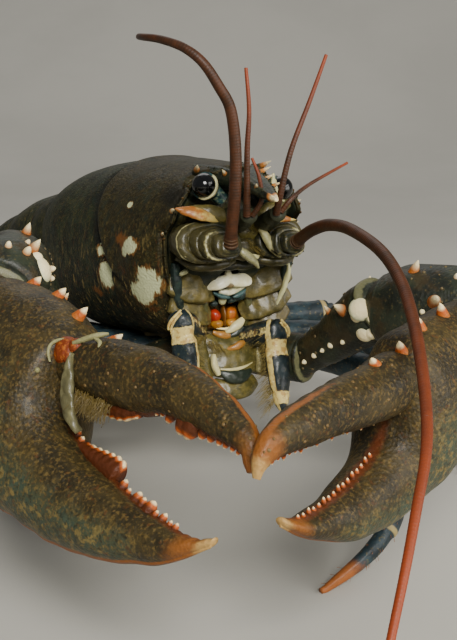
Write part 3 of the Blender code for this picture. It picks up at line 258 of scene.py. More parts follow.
STERNUM = (
    (27.0, 7.0, -55.0), (40.0, 9.6, -58.0), (60.0, 13.5, -58.5), (80.0, 16.0, -58.0), (98.0, 17.5, -56.5),
    (104.0, 13.0, -52.5),
)
# marked places on the shell: centre in the world and three radii
PATCHES = (
    (-28.0, 14.2, 80.6, 9.0, 5.6, 6.2), (-29.0, 18.4, 75.6, 8.0, 6.0, 5.4), (-32.8, 41.3, 77.5, 8.0, 5.6, 5.8),
    (-31.1, 22.0, 91.6, 7.0, 5.4, 3.4), (-31.0, 25.0, 89.4, 7.0, 3.0, 2.8), (-33.6, 45.4, 87.0, 8.0, 3.0, 3.8),
    (-27.3, 29.8, 103.9, 4.0, 2.0, 1.5), (-33.6, 40.0, 84.6, 7.0, 2.6, 2.6),
    (28.0, 15.0, 80.6, 9.0, 6.6, 6.6), (32.8, 40.0, 77.0, 8.0, 6.0, 5.4), (31.1, 23.4, 91.4, 7.0, 5.0, 3.2),
    (33.6, 47.0, 87.0, 8.0, 3.6, 3.4), (27.3, 31.0, 103.9, 4.0, 2.0, 1.4),
)
# dark spots on the shell beside the eyes: painted shadow in the eye sockets
ORBIT_SHADOWS = ((-19.5, 8.0, 108.5, 7.0, 12.0, 7.0), (19.5, 8.0, 108.5, 7.0, 12.0, 7.0))
RUST = (
    (-31.7, 28.5, 92.5, 7.0, 6.0, 3.6), (31.7, 28.5, 92.5, 7.0, 6.0, 3.6), (-33.0, 50.0, 70.0, 6.0, 5.0, 2.4),
)
# wall of the face: up, back
FACE_BACK = (
    (12.0, 9.0), (2.0, 9.0), (-4.0, 6.5), (-9.0, 4.6), (-16.0, 4.0), (-22.0, 5.5), (-25.0, 10.0), (-28.0, 14.2),
    (-33.0, 16.6), (-38.0, 20.0), (-44.0, 25.0), (-52.0, 29.0), (-60.0, 31.0),
)
# spines of the beak and of the shell's front edge: place, direction, length
ROSTRUM_SPINES = (
    ((6.6, -2.0, 4.6), (0.6, -0.8, 0.35), 3.8),
    ((4.6, -11.0, 1.8), (0.6, -0.9, 0.35), 3.6),
    ((3.0, -19.5, -0.8), (0.5, -1.0, 0.3), 3.2),
    ((12.0, 7.4, 7.0), (0.35, -1.0, 0.3), 4.4),
    ((21.3, 8.6, -6.0), (0.35, -1.0, 0.1), 6.0),
    ((23.6, 12.6, -13.0), (0.45, -1.0, 0.1), 4.0),
)
# feeler stems: back, shares of half width and half height, how far the row is a pale rim
STEM_ROWS = (
    (8.0, 0.85, 0.86, 0.0), (3.0, 0.96, 0.97, 0.0), (-0.4, 0.99, 0.99, 0.2), (-1.3, 1.01, 1.0, 1.0),
    (-2.0, 0.98, 0.97, 0.3),
    (-2.9, 0.86, 0.87, 0.0), (-2.9, 0.74, 0.78, 0.0), (-2.5, 0.68, 0.75, 0.0), (-4.6, 0.69, 0.77, 0.0),
    (-5.9, 0.69, 0.77, 0.1),
    (-6.4, 0.66, 0.75, 0.15), (-6.5, 0.62, 0.72, 0.0), (-6.3, 0.60, 0.71, 0.0), (-8.6, 0.62, 0.75, 0.0),
    (-9.6, 0.61, 0.74, 0.5),
    (-10.1, 0.56, 0.67, 0.9), (-10.2, 0.48, 0.58, 0.1), (-9.8, 0.41, 0.53, 0.0), (-11.4, 0.42, 0.54, 0.0),
    (-12.8, 0.43, 0.54, 0.1), (-13.5, 0.39, 0.49, 0.3), (-13.8, 0.33, 0.41, 0.1), (-14.8, 0.25, 0.33, 0.0),
)
STEM_PLACES = {
    "right": ((-14.6, 4.0, -16.2), 10.8, 6.8, (-12.6, -14.4, -18.1)),
    "left": ((11.8, 4.0, -17.0), 9.0, 6.6, (10.6, -14.2, -19.1)),
}
SCALES = {
    "right": ((-8.4, 0.0, -10.2), (-16.6, -2.4, -7.6), (-22.2, -0.6, -5.8)),
    "left": ((6.6, -4.0, -11.4), (10.4, -5.0, -11.0), (14.2, -4.6, -11.6)),
}
SCALE_WIDTHS = {"right": (0.9, 2.3, 1.3), "left": (1.2, 1.3, 0.7)}
# place in the world, height, radius, mark
ARM_KNOBS = {
    "carpus_right": (
        ((-67.6, -3.4, 92.5), 1.3, 4.2, "bony"), ((-71.0, -1.0, 94.5), 1.2, 2.4, "bony"),
        ((-63.5, -6.0, 92.0), 0.9, 1.6, "bony"),
        ((-72.5, -5.0, 99.5), 2.6, 1.4, "spiny"), ((-59.0, -2.0, 92.0), 1.8, 1.3, "spiny"),
        ((-60.5, -3.0, 88.0), 1.2, 1.2, "spiny"),
        ((-78.5, 0.0, 95.0), 1.8, 1.2, "spiny"), ((-70.0, 2.0, 100.0), 1.2, 1.1, "spiny"),
    ),
    "merus_left": (
        ((22.9, -38.1, 77.9), 0.9, 3.8, "bony"), ((21.6, -36.4, 75.0), 0.8, 2.4, "bony"),
        ((26.0, -39.0, 74.5), 0.8, 2.4, "bony"), ((24.3, -37.0, 68.4), 1.0, 3.0, "bony"),
        ((26.4, -38.4, 69.4), 0.9, 2.4, "bony"), ((19.2, -9.8, 53.0), 1.1, 1.1, "bony"),
        ((20.4, -14.0, 56.6), 1.0, 1.3, "bony"),
        ((21.4, -18.5, 59.6), 1.1, 1.0, "bony"), ((22.0, -23.0, 62.4), 0.9, 1.4, "bony"),
        ((23.0, -28.0, 65.0), 1.0, 1.1, "bony"),
    ),
    "carpus_left": (
        ((42.0, -60.0, 88.0), 1.4, 1.2, "spiny"), ((34.0, -56.0, 80.0), 0.8, 1.2, "bony"),
        ((48.0, -66.0, 83.0), 1.2, 1.2, "spiny"),
    ),
}
# share of the length, half width, half thickness
JAW_LEG_ROWS = {
    "upper": ((-0.05, 2.8, 2.6), (0.0, 3.8, 3.4), (0.5, 4.8, 4.0), (0.86, 5.0, 4.2), (1.0, 4.2, 3.6),
              (1.08, 2.8, 2.4)),
    "lower": ((-0.14, 2.4, 2.2), (-0.06, 4.0, 3.4), (0.05, 4.4, 3.6), (0.13, 4.0, 3.3), (0.20, 3.7, 3.1),
              (0.28, 4.3, 3.4),
              (0.48, 4.3, 3.3), (0.66, 3.8, 3.0), (0.76, 3.0, 2.5), (0.82, 3.0, 2.4), (0.92, 2.2, 1.9),
              (1.0, 0.9, 0.9)),
}
# bristles before the mouth and under the feelers: from, to, direction, length, count, droop, seed
BRISTLE_TUFTS = (
    ((-9.0, 17.6, -50.0), (-4.0, 18.4, -52.0), (0.5, -0.5, -1.0), 4.4, 70, 0.25, 7),
    ((4.0, 18.4, -53.0), (9.0, 17.6, -50.0), (-0.5, -0.5, -1.0), 4.4, 70, 0.25, 8),
    ((0.0, 1.0, -14.0), (8.0, -2.0, -14.0), (0.0, -1.0, 0.15), 7.0, 130, 0.1, 11),
    ((-2.0, 1.0, -16.0), (4.0, 0.0, -21.0), (0.1, -1.0, -0.2), 5.0, 90, 0.2, 9),
    ((-7.0, 0.0, -10.0), (-3.0, -2.0, -8.0), (0.1, -1.0, 0.1), 4.4, 60, 0.15, 10),
)
JAW_LEG_BANDS = {
    "maxilliped_right": ((0.08, 0.30), (0.70, 0.80)),
    "maxilliped_left": ((0.12, 0.32), (0.76, 0.92)),
}

dice = random.Random(7)


def unit(vector):
    vector = np.asarray(vector, float)
    return vector / np.linalg.norm(vector)


def body(points):
    """World places of points given as across, back, up from between the eyes."""
    points = np.asarray(points, float)
    back, up = points[..., 1], points[..., 2]
    return np.stack([
        points[..., 0], back * math.cos(PITCH) + up * math.sin(PITCH),
        EYE_HEIGHT - back * math.sin(PITCH) + up * math.cos(PITCH)], -1)


def turned(direction):
    """World direction of a direction given along the body's own axes."""
    return unit(body(direction) - body((0.0, 0.0, 0.0)))


def smooth(rows, steps):
    """Rows with smoothly blended rows put between them."""
    rows = np.asarray(rows, float)
    padded = np.vstack([rows[:1], rows, rows[-1:]])
    share = (np.arange(steps) / steps)[:, None]
    result = []
    for index in range(len(rows) - 1):
        before, start, end, after = padded[index:index + 4]
        result.append(0.5 * (
            2.0 * start + (end - before) * share
            + (2.0 * before - 5.0 * start + 4.0 * end - after) * share ** 2
            + (3.0 * start - before - 3.0 * end + after) * share ** 3))
    result.append(rows[-1:])
    return np.vstack(result)


def spread(rows, count):
    """Rows set evenly along the line that their first three numbers follow."""
    rows = smooth(rows, 12)
    lengths = np.concatenate([[0.0], np.cumsum(np.linalg.norm(np.diff(rows[:, :3], axis=0), axis=1))])
    places = np.linspace(0.0, lengths[-1], count)
    return np.stack([np.interp(places, lengths, rows[:, k]) for k in range(rows.shape[1])], 1)


def ease(value, low, high):
    """Smooth step from 0 at low to 1 at high."""
    share = np.clip((np.asarray(value, float) - low) / (high - low), 0.0, 1.0)
    return share * share * (3.0 - 2.0 * share)


def ripple(points, size, seed):
    """Soft seeded waves of about one size in millimetres."""
    source = np.random.default_rng(seed)
    total = np.zeros(points.shape[:-1])
    for _ in range(9):
        wave = unit(source.normal(size=3)) * 2.0 * math.pi / size * source.uniform(0.6, 1.6)
        total += np.cos(points @ wave + source.uniform(0.0, 2.0 * math.pi))
    return total / 3.0


def units(rows):
    return rows / np.linalg.norm(rows, axis=1)[:, None]


def bell(value, middle, width):
    """1 at the middle, falling away on both sides."""
    return np.exp(-((value - middle) / width) ** 2)


def shares(count):
    """Column of even steps from 0 to 1."""
    return np.linspace(0.0, 1.0, count)[:, None]


def signed_power(value, power):
    return np.sign(value) * np.abs(value) ** power


def frames(points, side):
    """Directions ahead, across and up at each point of a line."""
    ahead = units(np.gradient(points, axis=0))
    side = np.broadcast_to(np.asarray(side, float), ahead.shape)
    across = units(side - ahead * np.sum(ahead * side, 1)[:, None])
    return ahead, across, np.cross(across, ahead)


def ovals(centres, side, lift, width, top, bottom, angles, power=2.0, low_power=None):
    """Rings of points, one for each centre."""
    side, lift = (np.broadcast_to(value, centres.shape)[:, None, :] for value in (side, lift))
    across, up = np.cos(angles), np.sin(angles)
    bend = np.where(up > 0.0, 2.0 / power, 2.0 / (low_power or power))
    reach = np.where(up > 0.0, top[:, None], bottom[:, None])
    along_side = width[:, None] * signed_power(across, bend)
    along_lift = reach * signed_power(up, bend)
    return centres[:, None, :] + side * along_side[..., None] + lift * along_lift[..., None]


def circle(count):
    return 2.0 * math.pi * (np.arange(count) + 0.5) / count


def tube_grid(rows, side, count, power=2.0):
    """Rings along a line; each row holds a place, half width and half thickness."""
    rows = np.asarray(rows, float)
    _, across, lift = frames(rows[:, :3], side)
    return ovals(rows[:, :3], across, lift, rows[:, 3], rows[:, 4], rows[:, 4], circle(count), power)


def round_tube(line, width, side, count):
    return tube_grid(np.column_stack([line, width, width]), side, count)


def outward(grid, ring=True):
    """Unit normals of a grid of points, away from the middle of each row."""
    along = np.gradient(grid, axis=0)
    if ring:
        around = np.roll(grid, -1, 1) - np.roll(grid, 1, 1)
    else:
        around = np.gradient(grid, axis=1)
    normal = np.cross(around, along)
    normal /= np.maximum(np.linalg.norm(normal, axis=-1), 1e-9)[..., None]
    away = grid - grid.mean(1)[:, None, :]
    return normal * (1.0 if np.sum(normal * away) > 0.0 else -1.0)


def push(grid, amount, ring=True):
    return grid + outward(grid, ring) * np.asarray(amount)[..., None]


class Shape:
    """Collects grids of points, with named values at each point, for one piece."""

    def __init__(self):
        self.points, self.quads, self.fans, self.marks, self.count = [], [], [], {}, 0

    def add(self, grid, ring=True, **marks):
        rows, columns, _ = grid.shape
        index = self.count + np.arange(rows * columns).reshape(rows, columns)
        if ring:
            follow = np.roll(index, -1, 1)
            quads = np.stack([index[:-1], follow[:-1], follow[1:], index[1:]], -1).reshape(-1, 4)
        else:
            quads = np.stack([index[:-1, :-1], index[:-1, 1:], index[1:, 1:], index[1:, :-1]], -1).reshape(-1, 4)
        flat = grid.reshape(-1, 3)
        fans = []
        extra = []
        if ring:
            for number, row in enumerate((0, -1)):
                hub = self.count + rows * columns + number
                extra.append(grid[row].mean(0))
                pairs = np.stack([np.full(columns, hub), follow[row], index[row]], -1)
                fans.append(pairs if number == 0 else pairs[:, ::-1])
        normal = np.cross(np.roll(grid, -1, 1) - grid, np.gradient(grid, axis=0))
        away = grid - grid.mean(1)[:, None, :]
        if np.sum(normal * away) < 0.0:
            quads = quads[:, ::-1]
            fans = [pairs[:, ::-1] for pairs in fans]
        self.points.append(flat)
        if extra:
            self.points.append(np.array(extra))
        self.quads.append(quads)
        self.fans += fans
        total = rows * columns + len(extra)
        for name in set(self.marks) | set(marks):
            values = np.zeros(total)
            if name in marks:
                full = np.broadcast_to(np.asarray(marks[name], float), (rows, columns))
                values[:rows * columns] = full.reshape(-1)
                if extra:
                    values[rows * columns:] = (full[0].mean(), full[-1].mean())
            self.marks.setdefault(name, [np.zeros(self.count)] if self.count else []).append(values)
        self.count += total

    def make(self, name, look, nodes, slot, thick=0.0):
        points = np.vstack(self.points)
        points[:, 2] = np.maximum(points[:, 2], FLOOR_GAP)
        points = (points + SHIFT) * MM
        quads = np.vstack(self.quads)
        fans = np.vstack(self.fans) if self.fans else np.zeros((0, 3), int)
        mesh = bpy.data.meshes.new(name)
        mesh.vertices.add(len(points))
        mesh.vertices.foreach_set("co", points.astype(np.float32).ravel())
        corners = np.concatenate([quads.ravel(), fans.ravel()])
        starts = np.concatenate([np.arange(len(quads)) * 4, len(quads) * 4 + np.arange(len(fans)) * 3])
        mesh.loops.add(len(corners))
        mesh.loops.foreach_set("vertex_index", corners.astype(np.int32))
        mesh.polygons.add(len(starts))
        mesh.polygons.foreach_set("loop_start", starts.astype(np.int32))
        mesh.polygons.foreach_set("use_smooth", np.ones(len(starts), bool))
        mesh.update(calc_edges=True)
        for mark, values in self.marks.items():
            layer = mesh.attributes.new(mark, "FLOAT", "POINT")
            layer.data.foreach_set("value", np.concatenate(values).astype(np.float32))
        item = bpy.data.objects.new(name, mesh)
        bpy.context.scene.collection.objects.link(item)
        mesh.materials.append(look)
        if thick:
            wall = item.modifiers.new("wall", "SOLIDIFY")
            wall.thickness = thick * MM
            wall.offset = -1.0
        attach(item, "root")
        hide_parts(*nodes)

    def make_skin(self, node, look, slot, ending="shell"):
        self.make(f"{node}_{ending}", look, [node], slot)


def tint(colour):
    """Linear colour from three numbers read as on a screen, 0 to 255."""
    result = []
    for value in colour:
        share = value / 255.0
        result.append(share / 12.92 if share <= 0.04045 else ((share + 0.055) / 1.055) ** 2.4)
    return (*result, 1.0)


class Look:
    """A node-built surface: clouds of colour, speckle, marked areas, uneven gloss and a fine relief."""

    def __init__(self, name, base, deep, cloud=18.0):
        self.skin = bpy.data.materials.new(name)
        self.skin.use_nodes = True
        self.tree = self.skin.node_tree
        self.surface = self.tree.nodes["Principled BSDF"]
        self.where = self.tree.nodes.new("ShaderNodeTexCoord").outputs["Object"]
        self.colour = self.mix(self.band(self.noise(cloud, 5.0, 0.6), 0.38, 0.62), tint(deep), tint(base))

    def noise(self, size, detail=3.0, rough=0.55, stretch=None):
        node = self.tree.nodes.new("ShaderNodeTexNoise")
        node.inputs["Scale"].default_value = 1.0 / (size * MM)
        node.inputs["Detail"].default_value = detail
        node.inputs["Roughness"].default_value = rough
        source = self.where
        if stretch is not None:
            mapping = self.tree.nodes.new("ShaderNodeMapping")
            mapping.inputs["Scale"].default_value = stretch
            self.tree.links.new(source, mapping.inputs["Vector"])
            source = mapping.outputs["Vector"]
        self.tree.links.new(source, node.inputs["Vector"])
        return node.outputs["Fac"]

    def cells(self, size):
        node = self.tree.nodes.new("ShaderNodeTexVoronoi")
        node.inputs["Scale"].default_value = 1.0 / (size * MM)
        self.tree.links.new(self.where, node.inputs["Vector"])
        return node.outputs["Distance"]

    def band(self, value, low, high):
        node = self.tree.nodes.new("ShaderNodeMapRange")
        node.interpolation_type = "SMOOTHSTEP"
        node.inputs["From Min"].default_value = low
        node.inputs["From Max"].default_value = high
        self.tree.links.new(value, node.inputs["Value"])
        return node.outputs["Result"]

    def math(self, operation, first, second):
        node = self.tree.nodes.new("ShaderNodeMath")
        node.operation = operation
        for socket, value in zip(node.inputs, (first, second)):
            if isinstance(value, (int, float)):
                socket.default_value = value
            else:
                self.tree.links.new(value, socket)
        return node.outputs["Value"]

    def mark(self, name):
        node = self.tree.nodes.new("ShaderNodeAttribute")
        node.attribute_name = name
        return node.outputs["Fac"]

    def mix(self, share, first, second):
        node = self.tree.nodes.new("ShaderNodeMixRGB")
        for socket, value in zip(node.inputs, (share, first, second)):
            if isinstance(value, (tuple, float)):
                socket.default_value = value
            else:
                self.tree.links.new(value, socket)
        return node.outputs["Color"]

    def speckle(self, colour, size, low, high, amount=1.0, mark=None, stretch=None):
        share = self.band(self.noise(size, 4.0, 0.6, stretch), low, high)
        share = self.math("MULTIPLY", share, amount)
        if mark is not None:
            share = self.math("MULTIPLY", share, self.mark(mark))
        self.colour = self.mix(share, self.colour, tint(colour))

    def area(self, mark, colour, low=0.35, high=0.6, size=2.0, wobble=0.5, amount=1.0, stretch=None):
        """Colours where a mark is high, with an uneven edge."""
        drift = self.math("MULTIPLY", self.math("SUBTRACT", self.noise(size, 4.0, 0.6, stretch), 0.5), wobble)
        share = self.band(self.math("ADD", self.mark(mark), drift), low, high)
        self.colour = self.mix(self.math("MULTIPLY", share, amount), self.colour, tint(colour))

    def finish(self, rough=(0.3, 0.5), relief=((1.2, 0.12),), coat=0.0, pits=None, shine=0.32):
        tree = self.tree
        tree.links.new(self.colour, self.surface.inputs["Base Color"])
        gloss = tree.nodes.new("ShaderNodeMapRange")
        gloss.inputs["To Min"].default_value = rough[0]
        gloss.inputs["To Max"].default_value = rough[1]
        tree.links.new(self.noise(3.0, 3.0), gloss.inputs["Value"])
        tree.links.new(gloss.outputs["Result"], self.surface.inputs["Roughness"])
        self.surface.inputs["Coat Weight"].default_value = coat
        self.surface.inputs["Coat Roughness"].default_value = 0.12
        self.surface.inputs["Specular IOR Level"].default_value = shine
        height = None
        for size, depth in relief:
            layer = self.math("MULTIPLY", self.noise(size, 3.0), depth)
            height = layer if height is None else self.math("ADD", height, layer)
        if pits is not None:
            layer = self.math("MULTIPLY", self.cells(pits[0]), pits[1])
            height = self.math("ADD", height, layer)
        bump = tree.nodes.new("ShaderNodeBump")
        bump.inputs["Distance"].default_value = MM
        bump.inputs["Strength"].default_value = 1.0
        tree.links.new(height, bump.inputs["Height"])
        tree.links.new(bump.outputs["Normal"], self.surface.inputs["Normal"])
        return self.skin


def spine(shape, place, direction, length, radius, blunt=0.0, sink=1.3, sides=14, **marks):
    """Pointed or rounded outgrowth with its root under the skin."""
    direction = unit(direction)
    share = np.linspace(0.0, 1.0, 13 if sides > 9 else 7)
    line = np.asarray(place, float) + direction * (-sink + (length + sink) * share)[:, None]
    width = radius * np.maximum(1.0 - share ** (1.0 + 2.2 * blunt), 0.0) ** (0.85 - 0.35 * blunt)
    helper = UP if abs(direction[2]) < 0.8 else SIDE
    grid = round_tube(line, np.maximum(width, 0.06), helper, sides)
    shape.add(grid, **{"tip": share[:, None], **marks})


def gap(*places):
    return float(np.linalg.norm(np.subtract(*places)))


# shell over the head and chest, beak, eyes and feeler stems

def blobs(grid, spots):
    """1 in the middle of each spot, falling to 0 at its edge and below it outside; spots have three radii."""
    value = np.full(grid.shape[:-1], -1.0)
    for spot in spots:
        distance = np.linalg.norm((grid - np.array(spot[:3])) / np.array(spot[3:]), axis=-1)
        value = np.maximum(value, 1.0 - distance)
    return value


def edge_shift(back, up):
    length = np.where(back < GROOVE_BACK, GROOVE_BACK, 54.0)
    near = np.maximum(1.0 - np.abs(back - GROOVE_BACK) / length, 0.0)
    lean = -GROOVE_LEAN * near * np.clip((14.0 - up) / 36.0, 0.0, 1.0)
    front = np.maximum(1.0 - (back - 6.0) / 34.0, 0.0)
    return lean + CHEEK_LEAN * front * np.clip((6.0 - up) / 47.0, 0.0, 1.0)


def brow_shift(back, across, up):
    """How far the front edge is drawn on: a brow to the beak, a notch for the eye, a corner beside it."""
    wide = np.abs(across)
    brow = -5.0 * (1.0 - ease(wide, 7.0, 12.5)) * ease(up, -2.0, 3.0)
    corner = -5.2 * ease(wide, 15.5, 19.0) * ease(up, -13.0, -8.0) * (1.0 - ease(up, 1.0, 5.0))
    corner -= 2.6 * ease(wide, 15.0, 17.0) * ease(up, 1.0, 5.0)
    return (brow + corner) * (1.0 - ease(back, 6.0, 17.0))


def shell_lines(rows):
    """Level grid of the body shell in its own axes, open below; rows as in the table."""
    back, width, top, middle, bottom = rows.T
    low = np.radians(np.interp(back, (6.0, 20.0, 34.0, 46.0, 120.0), (60.0, 61.0, 66.0, 72.0, 74.0)))[:, None]
    angles = -low + (math.pi + 2.0 * low) * np.linspace(0.0, 1.0, SHELL_COLUMNS)
    across, up = np.cos(angles), np.sin(angles)
    bend = np.where(up > 0.0, 2.0 / 2.1, 2.0 / 2.7)
    reach = np.where(up > 0.0, (top - middle)[:, None], (middle - bottom)[:, None])
    x = width[:, None] * signed_power(across, bend)
    z = middle[:, None] + reach * signed_power(up, bend)
    y = np.broadcast_to(back[:, None], z.shape)
    return np.stack([x, y + edge_shift(y, z) + brow_shift(y, x, z), z], -1)


def side_groove(y, z, width):
    """Second groove, running down and forward from the neck groove."""
    return bell(y, 52.0 + 0.9 * (z + 12.0), width) * ease(z, -34.0, -26.0) * (1.0 - ease(z, -14.0, -6.0))


def carapace_grid():
    rows = smooth(CARAPACE, 20)
    back = rows[:, 0]
    flat = shell_lines(rows)
    x, y, z = np.moveaxis(flat, -1, 0)
    relief = 0.07 * ripple(flat, 15.0, 3)
    # neck groove between two low swellings, then the lines along the hind and front edges
    for height, away, width in ((-3.0, 0.0, 2.1), (1.2, -5.6, 4.0), (0.35, 5.0, 4.0)):
        relief += height * bell(back, GROOVE_BACK + away, width)[:, None] * ease(z, -40.0, -16.0)
    for height, place, width in ((-1.2, 113.0, 0.9), (0.5, 117.0, 2.2), (0.8, 6.3, 0.8), (-0.9, 8.8, 1.0)):
        relief += height * bell(back, place, width)[:, None]
    relief -= 1.1 * side_groove(y, z, 1.6) * (y < 60.0)
    relief += 1.3 * bell(y, 24.0, 9.0) * bell(z, -19.0, 7.0)
    # seam along the back, and a thicker lower rim
    relief -= 0.7 * bell(x, 0.0, 0.8) * ease(back, 62.0, 72.0)[:, None] * (z > 0.0)
    relief[:, :4] += 0.5
    relief[:, -4:] += 0.5
    return body(push(flat, relief, False)), flat, back


def build_carapace(look):
    shape = Shape()
    grid, flat, back = carapace_grid()
    y, z = flat[..., 1], flat[..., 2]
    rim = np.maximum(bell(back, 6.2, 0.8), bell(back, 120.0, 1.2))[:, None]
    # painted shade: a near-black colour down the neck groove and the side groove
    hollow = 1.2 * bell(back, GROOVE_BACK, 3.4)[:, None] * ease(z, -38.0, -20.0) + 0.8 * side_groove(y, z, 2.2)
    ahead = 1.0 - ease(back - GROOVE_BACK, -3.0, 0.0)[:, None]
    shape.add(grid, ring=False, low=ease(-z, -4.0, 40.0), rim=rim, hollow=np.clip(hollow, 0.0, 1.0), ahead=ahead,
              pale=blobs(grid, PATCHES), rust=blobs(grid, RUST), socket=blobs(grid, ORBIT_SHADOWS))
    # grains along the front edge
    for index in range(5, SHELL_COLUMNS - 5, 5):
        spine(shape, grid[2, index], turned((0.0, -1.0, 0.15)), 0.7, 0.5, 0.8, sink=0.6, sides=7, ahead=1.0)
    shape.make("carapace_shell", look, ["carapace"], "carapace_shell", 1.0)


def build_face_wall(look):
    """Wall that closes the front of the shell, behind the eyes and the feelers and down to the jaws."""
    edge_x, edge_y, edge_z = shell_lines(np.array([CARAPACE[0]]))[0].T
    edge_x = edge_x * 0.975
    share = shares(70)
    x = edge_x * (1.0 - share) + 0.08 * edge_x * share
    z = edge_z * (1.0 - share) + (np.clip(edge_z, -42.0, -2.0) * 0.35 - 12.0) * share
    place, depth = np.array(FACE_BACK)[::-1].T
    wall = np.interp(z, place, depth) + 0.012 * x ** 2 * ease(-z, -6.0, 4.0) * (1.0 - ease(-z, 24.0, 34.0))
    inward = edge_y + 0.8 + 3.0 * ease(share, 0.0, 0.08)
    y = inward * (1.0 - ease(share, 0.08, 0.34)) + wall * ease(share, 0.08, 0.34)
    flat = np.stack([x, y, z], -1)
    flat[..., 1] += 0.45 * ripple(flat * np.array((1.0, 0.2, 1.6)), 7.0, 31) * ease(share, 0.1, 0.3)
    # painted shade: the wall is darker in a band above the white plate, at its top under the beak and eyes, and just
    # inside the shell's edge
    dark = np.maximum(ease(-z, 21.0, 25.0) * (1.0 - ease(-z, 28.0, 30.0)), ease(z, -6.0, -1.0))
    dark = np.maximum(dark, 1.0 - ease(share, 0.06, 0.14))
    shape = Shape()
    shape.add(body(flat), ring=False, dark=dark, low=ease(-z, 28.0, 34.0))
    shape.make("face_wall", look, ["epistome"], "face_shell", 0.8)


def build_rostrum(look):
    shape = Shape()
    rows = smooth(ROSTRUM, 16)
    back, across, up, width, thick = rows.T
    angles = circle(BEAK_SIDES)
    centres = body(np.stack([across, back, up], -1))
    grid = ovals(centres, SIDE, turned(UP), width, thick, thick, angles, 2.2)
    top = np.maximum(np.sin(angles), 0.0)
    trough = bell(np.cos(angles), 0.0, 0.30) * top
    ridge = bell(np.abs(np.cos(angles)), 0.66, 0.15) * top
    relief = (0.20 * ridge - 0.40 * trough) * thick[:, None]
    grid = push(grid, relief + 0.05 * ripple(grid, 2.5, 13) * ease(-back, -20.0, 30.0)[:, None])
    shape.add(grid, tip=0.95 * ease(-back, 24.0, 31.0)[:, None], ridge=ridge * ease(-back, -4.0, 12.0)[:, None])
    for (across, back, up), pointing, length in ROSTRUM_SPINES:
        for hand in HANDS.values():
            lean = -1.6 if back < -10.0 else 0.0
            spine(shape, body((hand * across + lean, back, up)), turned((hand * pointing[0], *pointing[1:])), length,
                  0.46 * length ** 0.8, sink=2.6, sides=18)
    # small grains along the beak's two ridges
    for share in np.linspace(0.08, 0.86, 16):
        for column in (9, 27):
            place = grid[int(share * (len(rows) - 1)), column]
            spine(shape, place, turned((0.0, -0.8, 0.8)), 0.6, 0.42, 0.6, sink=0.5, sides=7, tip=0.26)
    shape.make("rostrum", look, ["carapace"], "carapace_shell")


def build_eyes(eye_look, stalk_look):
    for label, hand in HANDS.items():
        place = body((hand * EYE_SPACING / 2.0, -1.0, -1.3 * hand))
        root = body((hand * 6.4, 2.2, -3.4))
        ahead = unit((hand * 0.80, -0.62, 0.34))
        across = unit(np.cross(ahead, UP))
        neck = place - ahead * 3.6
        rows = []
        for share, width in ((0.0, 2.5), (0.5, 2.6), (1.0, 3.1)):
            rows.append((*(root + (neck - root) * share), width, width))
        for before, width in ((2.0, 3.9), (1.0, 4.32), (0.25, 4.46), (-0.25, 4.42), (-0.55, 4.1), (-0.5, 3.6)):
            rows.append((*(place - ahead * before), width, width))
        rows = smooth(rows, 10)
        # the last rows close in on the eyeball
        rows[-22:, :3] = place - ahead * np.linspace(0.9, -0.75, 22)[:, None]
        grid = tube_grid(rows, across, EYE_SIDES)
        inner = (grid - rows[:, None, :3]) @ unit((-hand * 0.86, 0.0, -0.5)) / rows[:, None, 3]
        rim = ease(shares(len(grid)), 0.40, 0.52) * ease(inner, -0.25, 0.25)
        shape = Shape()
        shape.add(push(grid, 0.07 * ripple(grid, 3.0, 4)), rim=rim)
        shape.make_skin(f"eyestalk_{label}", stalk_look, "eyestalk")
        shape = Shape()
        turn = np.linspace(0.03, math.pi - 0.03, 56)
        line = place - ahead * (EYE_RADIUS * np.cos(turn) - 0.35)[:, None]
        shape.add(round_tube(line, EYE_RADIUS * np.sin(turn), across, 80))
        shape.make_skin(f"eye_{label}", eye_look, "eye", "dome")


def leaf(shape, points, widths, thick, side, count=48, **marks):
    """Flat leaf along a line, with a ridge down its middle and a burnt tip and edge."""
    rows = [(*point, width, thick * (0.4 + 0.6 * width / max(widths))) for point, width in zip(points, widths)]
    grid = tube_grid(spread(rows, 60), side, count)
    share, across = shares(60), np.cos(circle(count))
    grid = push(grid, 0.22 * bell(across, 0.0, 0.16) * (1.0 - share) + 0.08 * ripple(grid, 4.0, 51))
    shape.add(grid, burnt=np.maximum(share, 0.75 * ease(across, 0.2, 0.9)), **marks)


